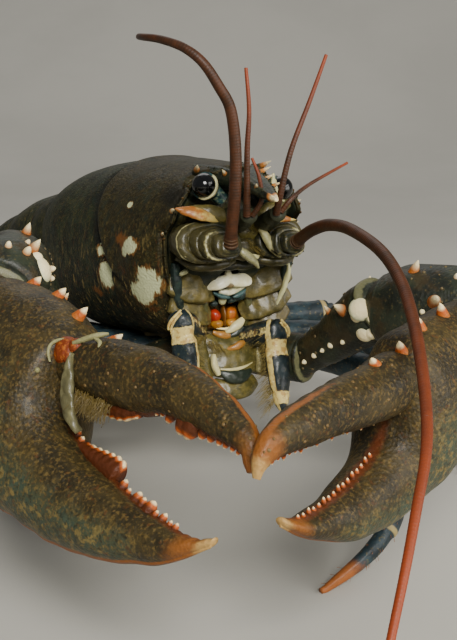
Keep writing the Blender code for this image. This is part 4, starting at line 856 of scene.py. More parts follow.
def build_stems(look):
    for label, (middle, wide, tall, front) in STEM_PLACES.items():
        hand = HANDS[label]
        table = np.array(STEM_ROWS)
        table = np.vstack([np.linspace(*pair, 7, endpoint=False) for pair in zip(table, table[1:])] + [table[-1:]])
        kernel = np.ones(5) / 5.0
        back, share_x, share_z, rim = (np.convolve(np.pad(column, 2, "edge"), kernel, "valid") for column in table.T)
        along = ease(-back, -4.0, 14.4)
        x = middle[0] + (front[0] - middle[0]) * along
        z = middle[2] + (front[2] - middle[2]) * along
        lift = turned((0.0, 0.12, 1.0))
        angles = circle(STEM_SIDES)
        grid = ovals(body(np.stack([x, back, z], -1)), SIDE, lift, wide * share_x, tall * share_z, tall * share_z,
                     angles, 2.5)
        grid = push(grid, 0.10 * ripple(grid, 4.0, 9))
        outer = ease(hand * np.cos(angles), -0.6, 0.6)
        low = ease(-np.sin(angles), -0.3, 0.8)
        shape = Shape()
        shape.add(grid, rim=rim[:, None] * np.clip(outer * 1.1 + low * 0.4 - 0.15, 0.0, 1.0), outer=outer)
        root, knee, tip = (body(point) for point in SCALES[label])
        leaf(shape, (root, knee, tip), SCALE_WIDTHS[label], 1.1, turned((0.0, 0.55, 1.0)), scaled=1.0)
        spine(shape, tip, tip - knee + turned((0.0, -0.5, 0.0)) * 2.0, 2.2, SCALE_WIDTHS[label][2], 0.3, sink=1.6,
              sides=20, scaled=1.0, burnt=1.0 if hand < 0.0 else 0.3)
        # teeth on the front edges of the stem's first two lengths
        for row_back, count, size in ((-2.2, 5, 0.7), (-9.6, 4, 0.6)):
            row = int(np.argmin(np.abs(back - row_back)))
            for step in range(count):
                column = int(((0.52 if hand < 0 else 0.62) + 0.36 * step / count) * STEM_SIDES)
                spine(shape, grid[row, column], turned((0.0, -1.0, -0.2)), size, 0.5, 0.2, sink=0.6, sides=8,
                      rim=0.55, outer=0.8)
        shape.make_skin(f"antenna_base_{label}", look, "feeler_stem")


def knob(shape, grid, place, height, radius, blunt=1.0, **marks):
    """Rounded knob on the skin nearest to a place."""
    distance = np.linalg.norm(grid - np.asarray(place, float), axis=-1)
    spot = np.unravel_index(int(np.argmin(distance)), distance.shape)
    spine(shape, grid[spot], outward(grid)[spot], height, radius, blunt, sink=1.8, sides=24, **marks)


def grains(shape, grid, count, rows, columns, height, low, high):
    """Fine grains scattered over the rows from the first to before the second number."""
    away = outward(grid)
    for _ in range(count):
        spot = dice.randrange(*rows), dice.randrange(columns)
        spine(shape, grid[spot], away[spot], height, dice.uniform(low, high), 1.0, sink=0.5, sides=7, grain=0.9,
              tip=0.0)


def lump(shape, centre, radii, turns=(0.0, 0.0, 0.0), power=2.2, uneven=0.12, count=36, seed=61, **marks):
    """Rounded plate or lobe in the body's own axes; turns are degrees about its side, back and up axes."""
    rows = shares(count) * (math.pi - 0.1) - (0.5 * math.pi - 0.05)
    angles = circle(count * 2)
    bend = 2.0 / power
    ring_size = np.cos(rows) ** bend
    parts = (ring_size * signed_power(np.cos(angles), bend), ring_size * signed_power(np.sin(angles), bend),
             signed_power(np.sin(rows), bend))
    flat = np.stack(np.broadcast_arrays(*parts), -1) * np.asarray(radii)
    for axis, degrees in enumerate(turns):
        first, second = ((1, 2), (2, 0), (0, 1))[axis]
        cosine, sine = math.cos(math.radians(degrees)), math.sin(math.radians(degrees))
        one, two = flat[..., first].copy(), flat[..., second].copy()
        flat[..., first] = one * cosine - two * sine
        flat[..., second] = one * sine + two * cosine
    grid = body(flat + np.asarray(centre))
    shape.add(push(grid, uneven * ripple(grid, 3.4, seed)), **marks)


def strap(shape, rows, flat_way=(0.0, 0.25, 1.0), count=48, uneven=0.08, power=2.5, seed=61, hand=1.0, **marks):
    """Flat plate along a line of the body's places; each row ends in its half height and half thickness."""
    rows = np.array(rows, float)
    rows[:, 0] *= hand
    rows[:, :3] = body(rows[:, :3])
    grid = tube_grid(spread(rows, 54), turned(flat_way), count, power)
    shape.add(push(grid, uneven * ripple(grid, 4.0, seed)), **marks)


def hairs(shape, start, end, ahead, length, count, droop=0.25, seed=3):
    """Tuft of fine bristles set between two places of the body, all leaning one way."""
    source = np.random.default_rng(seed)
    start, end, ahead = (np.asarray(value, float) for value in (start, end, ahead))
    share = np.linspace(0.0, 1.0, 7)
    for _ in range(count):
        root = start + (end - start) * source.uniform() + source.normal(size=3) * 0.5
        way = unit(unit(ahead) + source.normal(size=3) * 0.16)
        long = length * source.uniform(0.6, 1.1)
        bend = source.normal(size=3) * 0.07 * long + np.array((0.0, 0.0, -droop * long))
        line = body(root + way * (long * share)[:, None] + bend * (share ** 2)[:, None])
        shape.add(round_tube(line, 0.07 * (1.0 - 0.8 * share), (1.0, 0.13, 0.2), 5))


# limbs, claws, tail

def claw_axes(claw):
    ahead, up = unit(claw["along"]), np.asarray(claw["across"], float)
    up = unit(up - ahead * np.dot(up, ahead))
    return ahead, up, np.cross(up, ahead)


def claw_place(claw, along, across, out=0.0):
    ahead, up, outside = claw_axes(claw)
    along, across, out = (np.asarray(value, float)[..., None] for value in (along, across, out))
    return np.asarray(claw["wrist"]) + ahead * along + up * across + outside * out


def tooth_row(shape, claw, which, places, level, thick, way):
    """Teeth and one long ridge along an edge of a claw, with small grains between and beside them."""
    ahead = claw_axes(claw)[0]
    sharp = claw["sharp"]
    teeth = claw[which + "_teeth"]
    if claw[which + "_ridge"]:
        table = smooth(claw[which + "_ridge"], 16)
        count = 36
        rise = np.maximum(np.sin(circle(count)), 0.0)[None, :]
        base = claw_place(claw, table[:, 0], np.interp(table[:, 0], places, level)) - way * 2.2
        height = table[:, 1] * (1.0 + 0.06 * np.sin(table[:, 0] * 2.6)) + 2.2
        half = 1.9 + 0.10 * table[:, 1]
        centres = base + way * 0.5 * height[:, None]
        grid = ovals(centres, np.cross(way, ahead), way, half, 0.5 * height, 0.5 * height, circle(count), 1.7)
        shape.add(grid, tooth=1.0, tip=0.86 * rise ** 3 * ease(table[:, 1], 1.0, 2.4)[:, None])
    for place, height, radius in teeth:
        spot = claw_place(claw, place, float(np.interp(place, places, level)))
        lean = ahead * dice.uniform(-0.12, 0.12)
        # painted highlight: cream at the very tips of the teeth
        crown_glint = 0.92 * shares(13) ** 2
        spine(shape, spot, way + lean, height, radius * 1.12, 0.75 - 0.4 * sharp, sink=2.4, sides=24, tooth=1.0,
              tip=crown_glint)
    place = teeth[0][0] - 2.0 if which == "palm" else teeth[0][0] - 14.0 * (1.0 - sharp)
    while place < teeth[-1][0] + 6.0:
        across = float(np.interp(place, places, level))
        width = float(np.interp(place, places, thick))
        for shift in (-1.0, 1.0):
            offset = shift * dice.uniform(0.10, 0.26) * width
            spot = claw_place(claw, place + dice.uniform(-0.6, 0.6), across, offset) - way * (0.5 + 0.25 * abs(offset))
            spine(shape, spot, way, dice.uniform(0.5, 1.0), dice.uniform(0.4, 0.8), 0.9, sink=1.0, sides=9, edge=0.9,
                  tip=0.35)
        place += dice.uniform(1.5, 2.2)


def build_claw(label, claw, look):
    ahead, up, outside = claw_axes(claw)
    seen = -1.0 if label == "right" else 1.0
    rows = smooth(claw["palm"], 14)
    along, low, high, thick = rows.T
    angles = circle(PALM_SIDES)
    centres = claw_place(claw, along, (low + high) / 2.0)
    grid = ovals(centres, up, outside, (high - low) / 2.0, thick, thick, angles, 2.1)
    upper = np.cos(angles)[None, :]
    finger_share = ease(along, claw["finger"][0][0], claw["finger"][0][0] + 20.0)[:, None]
    out = thick[:, None] * np.sin(angles)[None, :]
    edge = bell(out, 0.0, 2.3) * (upper > 0.0) * finger_share
    keel = bell(out / thick[:, None], seen * 0.17, 0.19) * (upper < 0.0) * ease(along, 4.0, 20.0)[:, None]
    relief = 0.22 * ripple(grid, 13.0, 5) + 0.35 * ease(-upper, 0.95, 1.0)
    bumps = edge * 0.3 * (0.5 + 0.5 * np.sin(along * 2.2))[:, None]
    grid = push(grid, relief + bumps)
    cool = ease(-upper, -0.7, 0.6) * ease(along, 4.0, 30.0)[:, None] * (1.0 - ease(along, 92.0, 110.0))[:, None]
    end = ease(along, along[-1] - 13.0, along[-1])[:, None]
    shape = Shape()
    shape.add(grid, edge=edge, keel=keel, cool=cool, point=end)
    tooth_row(shape, claw, "palm", along, high, thick, up)
    for place, height in claw["margin_spines"]:
        across = float(np.interp(place, along, high))
        spot = claw_place(claw, place, across - 0.5, seen * 1.5)
        spine(shape, spot, up + ahead * 0.3, height + 0.9, 2.1, 0.25, sink=1.8, sides=22, spiny=1.0)
    for place, height, radius, name in claw["knobs"]:
        knob(shape, grid, place, height, radius, **{name: 1.0, "tip": 0.0})
    shape.make_skin(f"palm_{label}", look, "claw_shell")
    along, across, width, thick = smooth(claw["finger"], 14).T
    line = claw_place(claw, along, across)
    grid = tube_grid(np.column_stack([line, width, thick]), up, FINGER_SIDES, 2.1)
    facing = np.einsum("rck,k->rc", grid - line[:, None, :], up) / width[:, None]
    finger_share = ease(along, along[0] + 10.0, along[0] + 24.0)[:, None]
    out = np.abs(np.einsum("rck,k->rc", grid - line[:, None, :], outside))
    edge = bell(out, 0.0, 2.2) * (facing < 0.0) * finger_share
    keel = bell(out, 0.0, 1.4) * (facing > 0.0) * ease(along, along[0] + 22.0, along[0] + 50.0)[:, None]
    relief = 0.18 * ripple(grid, 9.0, 6) * ease(along[-1] - along, 0.0, 12.0)[:, None]
    grid = push(grid, relief + edge * 0.25 * (0.5 + 0.5 * np.sin(along * 2.4))[:, None])
    end = ease(along, along[-1] - 13.0, along[-1])[:, None] * (0.6 + 0.4 * claw["sharp"])
    shape = Shape()
    shape.add(grid, edge=edge, keel=keel, point=end)
    tooth_row(shape, claw, "finger", along, across - width, thick, -up)
    for place, height in claw["finger_spines"]:
        top_edge = float(np.interp(place, along, across + width))
        spine(shape, claw_place(claw, place, top_edge - 0.4), up + ahead * 0.5, height + 0.6, 2.0, 0.2, sides=20,
              spiny=1.0)
    grains(shape, grid, 46, (20, len(along) - 12), FINGER_SIDES, 0.3, 0.35, 0.6)
    shape.make_skin(f"dactyl_{label}", look, "claw_shell")


def build_soft_joint(skin_look, bone_look):
    """Pale skin and bristles in the open hinge of the crushing claw, and the knuckle that it turns on."""
    shape = Shape()
    ahead, up, outside = claw_axes(CRUSHER)
    rows = [(*claw_place(CRUSHER, along, across, out), width, 1.2) for along, across, out, width in SOFT_SKIN]
    grid = tube_grid(spread(rows, 60), unit(up * 0.6 + ahead), 40)
    shape.add(push(grid, 0.16 * ripple(grid, 3.0, 33)), bare=1.0)
    for _ in range(260):
        share = dice.random()
        root = claw_place(CRUSHER, 58.5 + 10.0 * share, 1.6 + 3.0 * share + dice.uniform(-1.4, 0.6),
                          dice.uniform(-7.0, -3.4) + 1.5 * share)
        way = unit(ahead * dice.uniform(0.0, 0.9) - up * dice.uniform(0.5, 1.1) - outside * dice.uniform(-0.1, 0.5))
        spine(shape, root, way, dice.uniform(2.6, 5.2), 0.13, sink=0.8, sides=5, tufted=1.0)
    shape.make("hinge_skin", skin_look, ["dactyl_right"], "claw_shell")
    shape = Shape()
    for along, across, out, height, radius, name in KNUCKLE:
        spine(shape, claw_place(CRUSHER, along, across, out), -outside, height, radius, 1.0, sink=2.5, sides=40,
              **{name: 1.0, "tip": 0.0})
    for places, widths in KNUCKLE_RIDGES:
        rows = [(*claw_place(CRUSHER, *place), width, width * 0.8) for place, width in zip(places, widths)]
        shape.add(tube_grid(spread(rows, 40), outside, 24), bony=1.0)
    shape.make("hinge_knuckle", bone_look, ["dactyl_right"], "claw_shell")


def build_arm(label, claw, look):
    joints = [np.array(point) for point in ARMS[label]]
    hint = np.asarray(claw["across"])
    for index, (part, table) in enumerate(ARM_LENGTHS):
        start, end = joints[index], joints[index + 1]
        ahead = unit(end - start)
        share, width, thick = smooth(table, 12).T
        before = 4.0 if index else 0.0
        share = np.concatenate([[-before / gap(start, end)], share, [1.0 + 3.0 / gap(start, end)]])
        width = np.concatenate([[width[0] * 0.55], width, [width[-1] * 0.6]])
        thick = np.concatenate([[thick[0] * 0.55], thick, [thick[-1] * 0.6]])
        line = start + (end - start) * share[:, None]
        rows = spread(np.column_stack([line, width, thick]), ARM_ROWS)
        grid = tube_grid(rows, hint, ARM_SIDES, 2.3)
        share = shares(ARM_ROWS)
        collar = -0.5 * bell(share, 0.90, 0.012) + 0.35 * bell(share, 0.93, 0.016)
        grid = push(grid, 0.2 * ripple(grid, 11.0, 8 + index) + collar)
        shape = Shape()
        shape.add(grid, rim=ease(share, 0.91, 0.94) * (1.0 - ease(share, 0.955, 0.985)))
        across = unit(hint - ahead * np.dot(hint, ahead))
        lift = np.cross(across, ahead)
        for where, place, angle, length in ARM_SPINES:
            if where != part:
                continue
            turn = math.radians(angle)
            away = across * math.sin(turn) - lift * math.cos(turn)
            centre = start + (end - start) * place
            flat = grid.reshape(-1, 3)
            high = (flat - centre) @ away
            reach = high - 0.9 * np.linalg.norm((flat - centre) - np.outer(high, away), axis=1)
            spot = flat[int(np.argmax(reach))]
            spine(shape, spot, away + ahead * 0.35, length, 0.42 * length, 0.15, sides=22, spiny=1.0)
        for place, height, radius, name in ARM_KNOBS.get(f"{part}_{label}", ()):
            knob(shape, grid, place, height, radius, 0.7, **{name: 1.0})
        grains(shape, grid, 50, (8, 96), ARM_SIDES, 0.35, 0.4, 0.7)
        shape.make_skin(f"{part}_{label}", look, "claw_shell")


def leg_line(points, table, count):
    line = spread(points, 200)
    share, width, thick = smooth(table, 10).T
    places = np.linspace(0.0, 1.0, count)
    columns = [np.interp(places, np.linspace(0.0, 1.0, len(line)), line[:, k]) for k in range(3)]
    return np.stack([*columns, np.interp(places, share, width), np.interp(places, share, thick)], 1)


def build_legs(look):
    for name, points in LEGS.items():
        root, knee, ankle, foot = (np.array(point) for point in points)
        side = unit(np.cross(knee - root, foot - knee))
        middle = (root + knee) / 2.0 + UP * 2.5
        share = shares(LEG_UPPER_ROWS)
        grid = tube_grid(leg_line((root, middle, knee), LEG_UPPER, LEG_UPPER_ROWS), side, LEG_SIDES)
        grid = push(grid, 0.10 * ripple(grid, 6.0, 71) + 0.3 * bell(share, 0.95, 0.015))
        shape = Shape()
        shape.add(grid, rim=ease(share, 0.93, 0.96) * (1.0 - ease(share, 0.97, 1.0)))
        shape.make_skin(f"{name}_upper", look, "leg_shell")
        rows = leg_line((knee, ankle, foot - UP * 0.2), LEG_LOWER, LEG_LOWER_ROWS)
        rows[:, 2] = np.maximum(rows[:, 2], rows[:, 4] * 0.7)
        share = shares(LEG_LOWER_ROWS)
        rims = bell(share, 0.27, 0.012) + bell(share, 0.68, 0.012)
        grid = tube_grid(rows, side, LEG_SIDES)
        grid = push(grid, 0.25 * rims + 0.08 * ripple(grid, 5.0, 72) * (1.0 - share))
        shape = Shape()
        shape.add(grid, rim=rims, tip=ease(share, 0.72, 0.98))
        if name.startswith(("leg_2", "leg_3")):
            # the small finger of the pincer
            start = rows[int(0.67 * LEG_LOWER_ROWS), :3]
            spine(shape, start + side * 1.4, unit(foot - start) + side * 0.22, 13.0, 1.9, 0.35, sink=3.0, sides=16)
        away = outward(grid)
        for _ in range(60):
            spot = dice.randrange(60, 116), dice.randrange(LEG_SIDES)
            spine(shape, grid[spot], away[spot] + unit(foot - ankle) * 0.8, dice.uniform(0.9, 1.8), 0.10,
                  sink=0.4, sides=5, hair=1.0)
        shape.make_skin(f"{name}_lower", look, "leg_shell")


def tail_frames():
    rows = np.array(TAIL_PATH)
    ahead = np.gradient(rows[:, :3], axis=0)
    ahead[0] = turned((0.0, 1.0, 0.0))
    return rows, rows[:, :3], units(ahead)


def build_tail(look):
    rows, places, ahead = tail_frames()
    angles = circle(TAIL_SIDES)
    share = np.linspace(-0.04, 1.06, TAIL_ROWS)
    swell = 1.0 + 0.055 * np.sin(np.clip(share, 0.0, 1.0) * math.pi) + 0.012 * ease(share, 0.86, 1.0)
    swell -= 0.05 * ease(-share, -0.12, 0.02) + 0.05 * ease(share, 1.02, 1.06)
    groove = -0.5 * bell(share, 0.2, 0.035)[:, None] * (np.sin(angles) > -0.1)
    for index in range(6):
        values = np.stack([np.interp(share, (0.0, 1.0), (rows[index, k], rows[index + 1, k])) for k in range(6)], 1)
        run = units(ahead[index] * (1.0 - share[:, None]) + ahead[index + 1] * share[:, None])
        side = units(SIDE - run * (run @ SIDE)[:, None])
        centres, (width, top, bottom) = values[:, :3], values[:, 3:].T
        grid = ovals(centres, side, np.cross(side, run), width * swell, top * swell, bottom, angles, 2.2, 4.0)
        grid = push(grid, groove + 0.08 * ripple(grid, 10.0, 20 + index))
        shape = Shape()
        shape.add(grid, rim=bell(share, 1.0, 0.035)[:, None], low=ease(-np.sin(angles), 0.2, 0.9))
        middle = (places[index] + places[index + 1]) / 2.0
        run = unit(ahead[index] + ahead[index + 1])
        side_line = unit(SIDE - run * np.dot(run, SIDE))
        up_line = np.cross(side_line, run)
        depth = (rows[index, 5] + rows[index + 1, 5]) / 2.0
        half = (rows[index, 3] + rows[index + 1, 3]) / 2.0
        for hand in HANDS.values():
            # pointed lower corner, and the limb beside it
            spot = middle - up_line * depth * 0.80 + side_line * hand * half * 0.93 - run * 1.0
            if index < 5 and spot[2] - 9.0 > 0.0:
                spine(shape, spot, -up_line + run * 0.45, 9.0, 4.6, 0.5, sink=4.0, sides=24, low=0.4)
            if 0 < index < 5:
                spot = middle - up_line * (depth - 0.5) + side_line * hand * half * 0.45
                length = min(11.0, (spot[2] - 1.0) / 0.55)
                if length > 3.0:
                    spine(shape, spot, -up_line * 0.6 + run + side_line * hand * 0.3, length, 3.0, 0.9, sides=18,
                          low=1.0)
        shape.make_skin(f"somite_{index + 1}", look, "tail_shell")


def build_fan(look):
    _, places, directions = tail_frames()
    heading = math.atan2(directions[-1][0], directions[-1][1])
    straight = np.array((math.sin(heading), math.cos(heading), 0.0))
    across = np.array((straight[1], -straight[0], 0.0))
    for name, turn, shift, length, widths in FAN:
        angle = heading + math.radians(turn)
        ahead = np.array((math.sin(angle), math.cos(angle), 0.0))
        side = np.array((ahead[1], -ahead[0], 0.0))
        root = places[-1] + across * shift - straight * 4.0
        table = []
        for share, width in zip((0.0, 0.14, 0.42, 0.72, 0.92, 1.0), (widths[0], *widths, widths[-1] * 0.45)):
            point = root + ahead * length * share
            level = max(1.1, root[2] * (1.0 - share * 2.1) - 1.0)
            thick = 1.5 * (2.4 - 1.6 * min(share * 2.0, 1.0))
            table.append((point[0], point[1], max(level, thick - 0.4), width, thick))
        grid = tube_grid(smooth(table, 12), side, FAN_SIDES, 2.6)
        span = shares(len(grid))
        wide, above = np.cos(circle(FAN_SIDES)), np.sin(circle(FAN_SIDES)) > 0.0
        ribs = 0.28 * np.sin(wide * 14.0) * ease(span, 0.3, 0.6)
        keel = 0.7 * bell(wide, 0.0, 0.07) * (1.0 - ease(span, 0.8, 1.0))
        shape = Shape()
        shape.add(push(grid, (ribs + keel) * above), rim=ease(span, 0.9, 0.97))
        shape.make_skin(name, look, "tail_shell", "blade")


# feelers

def whip_rows(points, radii, period, depth):
    length = sum(gap(a, b) for a, b in zip(points, points[1:]))
    rows = spread([(*point, radius, radius) for point, radius in zip(points, radii)], WHIP_ROWS_PER_MM * int(length))
    lengths = np.concatenate([[0.0], np.cumsum(np.linalg.norm(np.diff(rows[:, :3], axis=0), axis=1))])
    rings = 0.5 + 0.5 * np.cos(lengths * 2.0 * math.pi / period)
    rows[:, 3:] *= (1.0 + depth * rings)[:, None]
    return rows, rings[:, None]


def build_feelers(whip_look):
    for label, chains in ANTENNAE.items():
        points = [chains[0][0]] + [point for chain in chains for point in chain[1:]]
        radii = FLAGELLUM_RADIUS * (1.0 - TAPER[label] * np.linspace(0.0, 1.0, len(points)) ** 1.5)
        radii[0] *= ROOT_SWELL
        rows, rings = whip_rows(points, radii, 0.9, 0.022)
        ends = [0] + [int(np.argmin(np.linalg.norm(rows[:, :3] - chain[-1], axis=1))) for chain in chains]
        grid = tube_grid(rows, WHIP_SIDE, WHIP_SIDES)
        share = shares(len(rows))
        for number, (start, end) in enumerate(zip(ends, ends[1:])):
            shape = Shape()
            shape.add(grid[start:end + 1], ringed=rings[start:end + 1], reach=share[start:end + 1])
            if number == 0:
                # swollen first rings, like a collar
                for step, widen in ((0.3, 1.26), (1.5, 1.18), (2.6, 1.10)):
                    row = int(WHIP_ROWS_PER_MM * step)
                    middle = rows[row:row + WHIP_ROWS_PER_MM].copy()
                    taper = 1.0 - 0.25 * (2.0 * shares(len(middle)) - 1.0) ** 4
                    middle[:, 3:] = FLAGELLUM_RADIUS * widen * taper
                    shape.add(tube_grid(middle, WHIP_SIDE, 32), collar=1.0)
            shape.make_skin(f"antenna_{label}_{number + 1}", whip_look, "feeler", "whip")
    for name, (root, tip, outer, inner) in ANTENNULES.items():
        root, tip = np.array(root), np.array(tip)
        start = root + unit(root - tip) * 5.0
        line = (start, root, root * 0.7 + tip * 0.3, (root + tip) / 2.0, root * 0.25 + tip * 0.75, tip)
        rows = [(*point, width, width * 0.94) for point, width in zip(line, (2.8, 3.0, 2.5, 3.0, 2.3, 2.7))]
        shape = Shape()
        shape.add(tube_grid(spread(rows, 60), SIDE, 40), stemmed=1.0, reach=0.3 * shares(60))
        for points, thick in ((outer, 1.15), (inner, 0.9)):
            radii = thick * (1.0 - 0.55 * np.linspace(0.0, 1.0, len(points)))
            rows, rings = whip_rows(points, radii, 0.9, 0.05)
            shape.add(tube_grid(rows, WHIP_SIDE, 16), ringed=rings, reach=0.1 + 0.7 * shares(len(rows)))
        shape.make_skin(name, whip_look, "feeler", "whips")


# face under the eyes
UPRIGHT = (1.0, 0.2, 0.0)

def build_face_plates(looks):
    white, tan, teal = Shape(), Shape(), Shape()
    # white plate in front of the jaws, with a small peak above its middle and a brown notch below
    strap(white, ((-8.0, 16.8, -32.6, 0.5, 0.6), (-5.6, 15.6, -31.4, 2.0, 1.2), (-2.8, 14.8, -30.7, 2.2, 1.3),
                  (-0.4, 14.5, -30.0, 1.8, 1.3), (2.0, 14.7, -30.6, 2.3, 1.3), (5.0, 15.2, -30.8, 2.5, 1.3),
                  (7.8, 16.2, -31.1, 1.8, 1.0), (9.6, 17.2, -31.4, 0.5, 0.6)), uneven=0.04, power=3.0)
    lump(white, (-0.5, 14.4, -28.2), (1.2, 0.9, 1.5), (-20.0, 0.0, 0.0), 2.0, 0.03, 30, 64)
    lump(white, (-0.3, 14.0, -31.9), (1.5, 0.8, 1.1), power=2.0, uneven=0.03, count=30, stained=1.0)
    strap(white, ((-3.0, 18.0, -34.0, 0.6, 0.7), (0.0, 17.4, -34.4, 1.3, 1.2), (3.4, 17.2, -33.7, 1.3, 1.2),
                  (6.4, 17.4, -32.7, 0.9, 0.8)), uneven=0.05, duller=0.62)
    lump(white, (-1.6, 18.8, -36.9), (1.5, 1.3, 1.8), power=2.0, uneven=0.08, count=30, duller=0.9)
    white.make("epistome_plate", looks["plate"], ["epistome"], "face_shell")
    for hand in HANDS.values():
        # side plates, from the cheek towards the jaws, one under the other
        strap(tan, ((22.6, 14.6, -29.4, 3.2, 1.4), (17.6, 14.8, -30.6, 5.0, 1.8), (11.6, 15.8, -32.2, 5.0, 1.8),
                    (7.4, 17.4, -34.4, 3.4, 1.3), (5.2, 18.8, -35.6, 1.4, 0.8)), power=3.4, uneven=0.2, seed=65,
              hand=hand)
        strap(tan, ((22.0, 16.0, -35.4, 3.4, 1.4), (17.4, 16.4, -37.2, 5.6, 1.9), (12.0, 17.8, -39.0, 5.8, 1.8),
                    (8.0, 19.8, -41.0, 4.6, 1.4), (5.8, 21.2, -42.0, 2.4, 0.9)), power=3.4, uneven=0.2, seed=66,
              low=0.4, hand=hand)
        strap(tan, ((21.4, 17.4, -41.0, 3.0, 1.4), (17.0, 17.8, -43.6, 5.0, 1.9), (12.6, 18.9, -46.2, 5.4, 1.8),
                    (9.0, 20.8, -48.2, 4.2, 1.4)), power=3.4, uneven=0.2, seed=67, low=0.8, hand=hand)
        strap(tan, ((7.8, 18.6, -33.6, 1.0, 1.0), (8.4, 18.8, -38.0, 1.5, 1.4), (8.6, 20.2, -43.0, 1.4, 1.3),
                    (7.6, 21.6, -47.0, 0.7, 0.8)), UPRIGHT, seed=68, duller=0.8, hand=hand)
        # dark band and pale ridge beside the shell's front edge
        strap(teal, ((20.8, 11.6, -22.6, 1.4, 1.2), (20.6, 12.2, -28.0, 1.7, 1.5), (19.6, 14.0, -34.0, 1.5, 1.4),
                     (18.2, 16.4, -41.0, 1.3, 1.3), (16.4, 18.0, -46.0, 0.8, 0.9)), UPRIGHT, seed=69, hand=hand)
        # small lump painted pale as a highlight on each cheek
        lump(teal, (hand * 18.8, 9.6, -26.0), (1.6, 1.1, 0.9), (0.0, hand * 24.0, 0.0), 2.2, 0.12, 30, pale=0.6)
    strap(teal, ((9.4, 17.4, -32.2, 0.9, 0.9), (8.2, 17.6, -34.0, 1.7, 1.3), (5.6, 18.0, -35.7, 1.8, 1.4),
                 (2.6, 18.8, -37.0, 1.4, 1.2), (0.8, 19.6, -38.0, 0.6, 0.7)), seed=71)
    strap(teal, ((7.8, 19.6, -37.4, 0.8, 0.9), (8.2, 20.0, -40.6, 1.5, 1.2), (7.6, 21.0, -44.4, 1.2, 1.1)), UPRIGHT,
          seed=72)
    lump(teal, (-4.4, 19.6, -38.0), (1.5, 1.1, 1.2), power=2.0, uneven=0.1, count=30)
    strap(teal, ((20.6, 10.4, -26.4, 0.3, 0.5), (20.2, 10.6, -30.0, 0.9, 0.9), (18.8, 12.0, -35.0, 0.8, 0.9),
                 (16.8, 14.4, -40.4, 0.3, 0.5)), UPRIGHT, seed=73, pale=1.0)
    # blue fringe under the white plate
    strap(teal, ((-5.6, 16.8, -34.0, 0.3, 0.5), (-3.8, 16.4, -35.2, 0.7, 0.7), (-1.6, 16.4, -36.0, 0.8, 0.7),
                 (0.4, 16.8, -36.4, 0.4, 0.5)), seed=76, blue=0.8)
    strap(teal, ((1.6, 16.6, -36.4, 0.3, 0.5), (3.2, 16.3, -36.0, 0.8, 0.7), (5.2, 16.4, -35.0, 0.7, 0.7),
                 (6.6, 17.0, -34.0, 0.3, 0.5)), seed=77, blue=0.8)
    # plate under the eye
    for hand in HANDS.values():
        strap(tan, ((18.4, 3.8, -6.2, 1.6, 1.2), (13.6, 0.6, -7.0, 2.6, 2.0), (8.8, 0.2, -8.4, 2.6, 2.0),
                    (5.6, 1.4, -9.6, 1.6, 1.4)), seed=74, duller=0.5, hand=hand)
    tan.make("cheek_plates", looks["tan"], ["epistome"], "face_shell")
    teal.make("cheek_lobes", looks["teal"], ["epistome"], "face_shell")


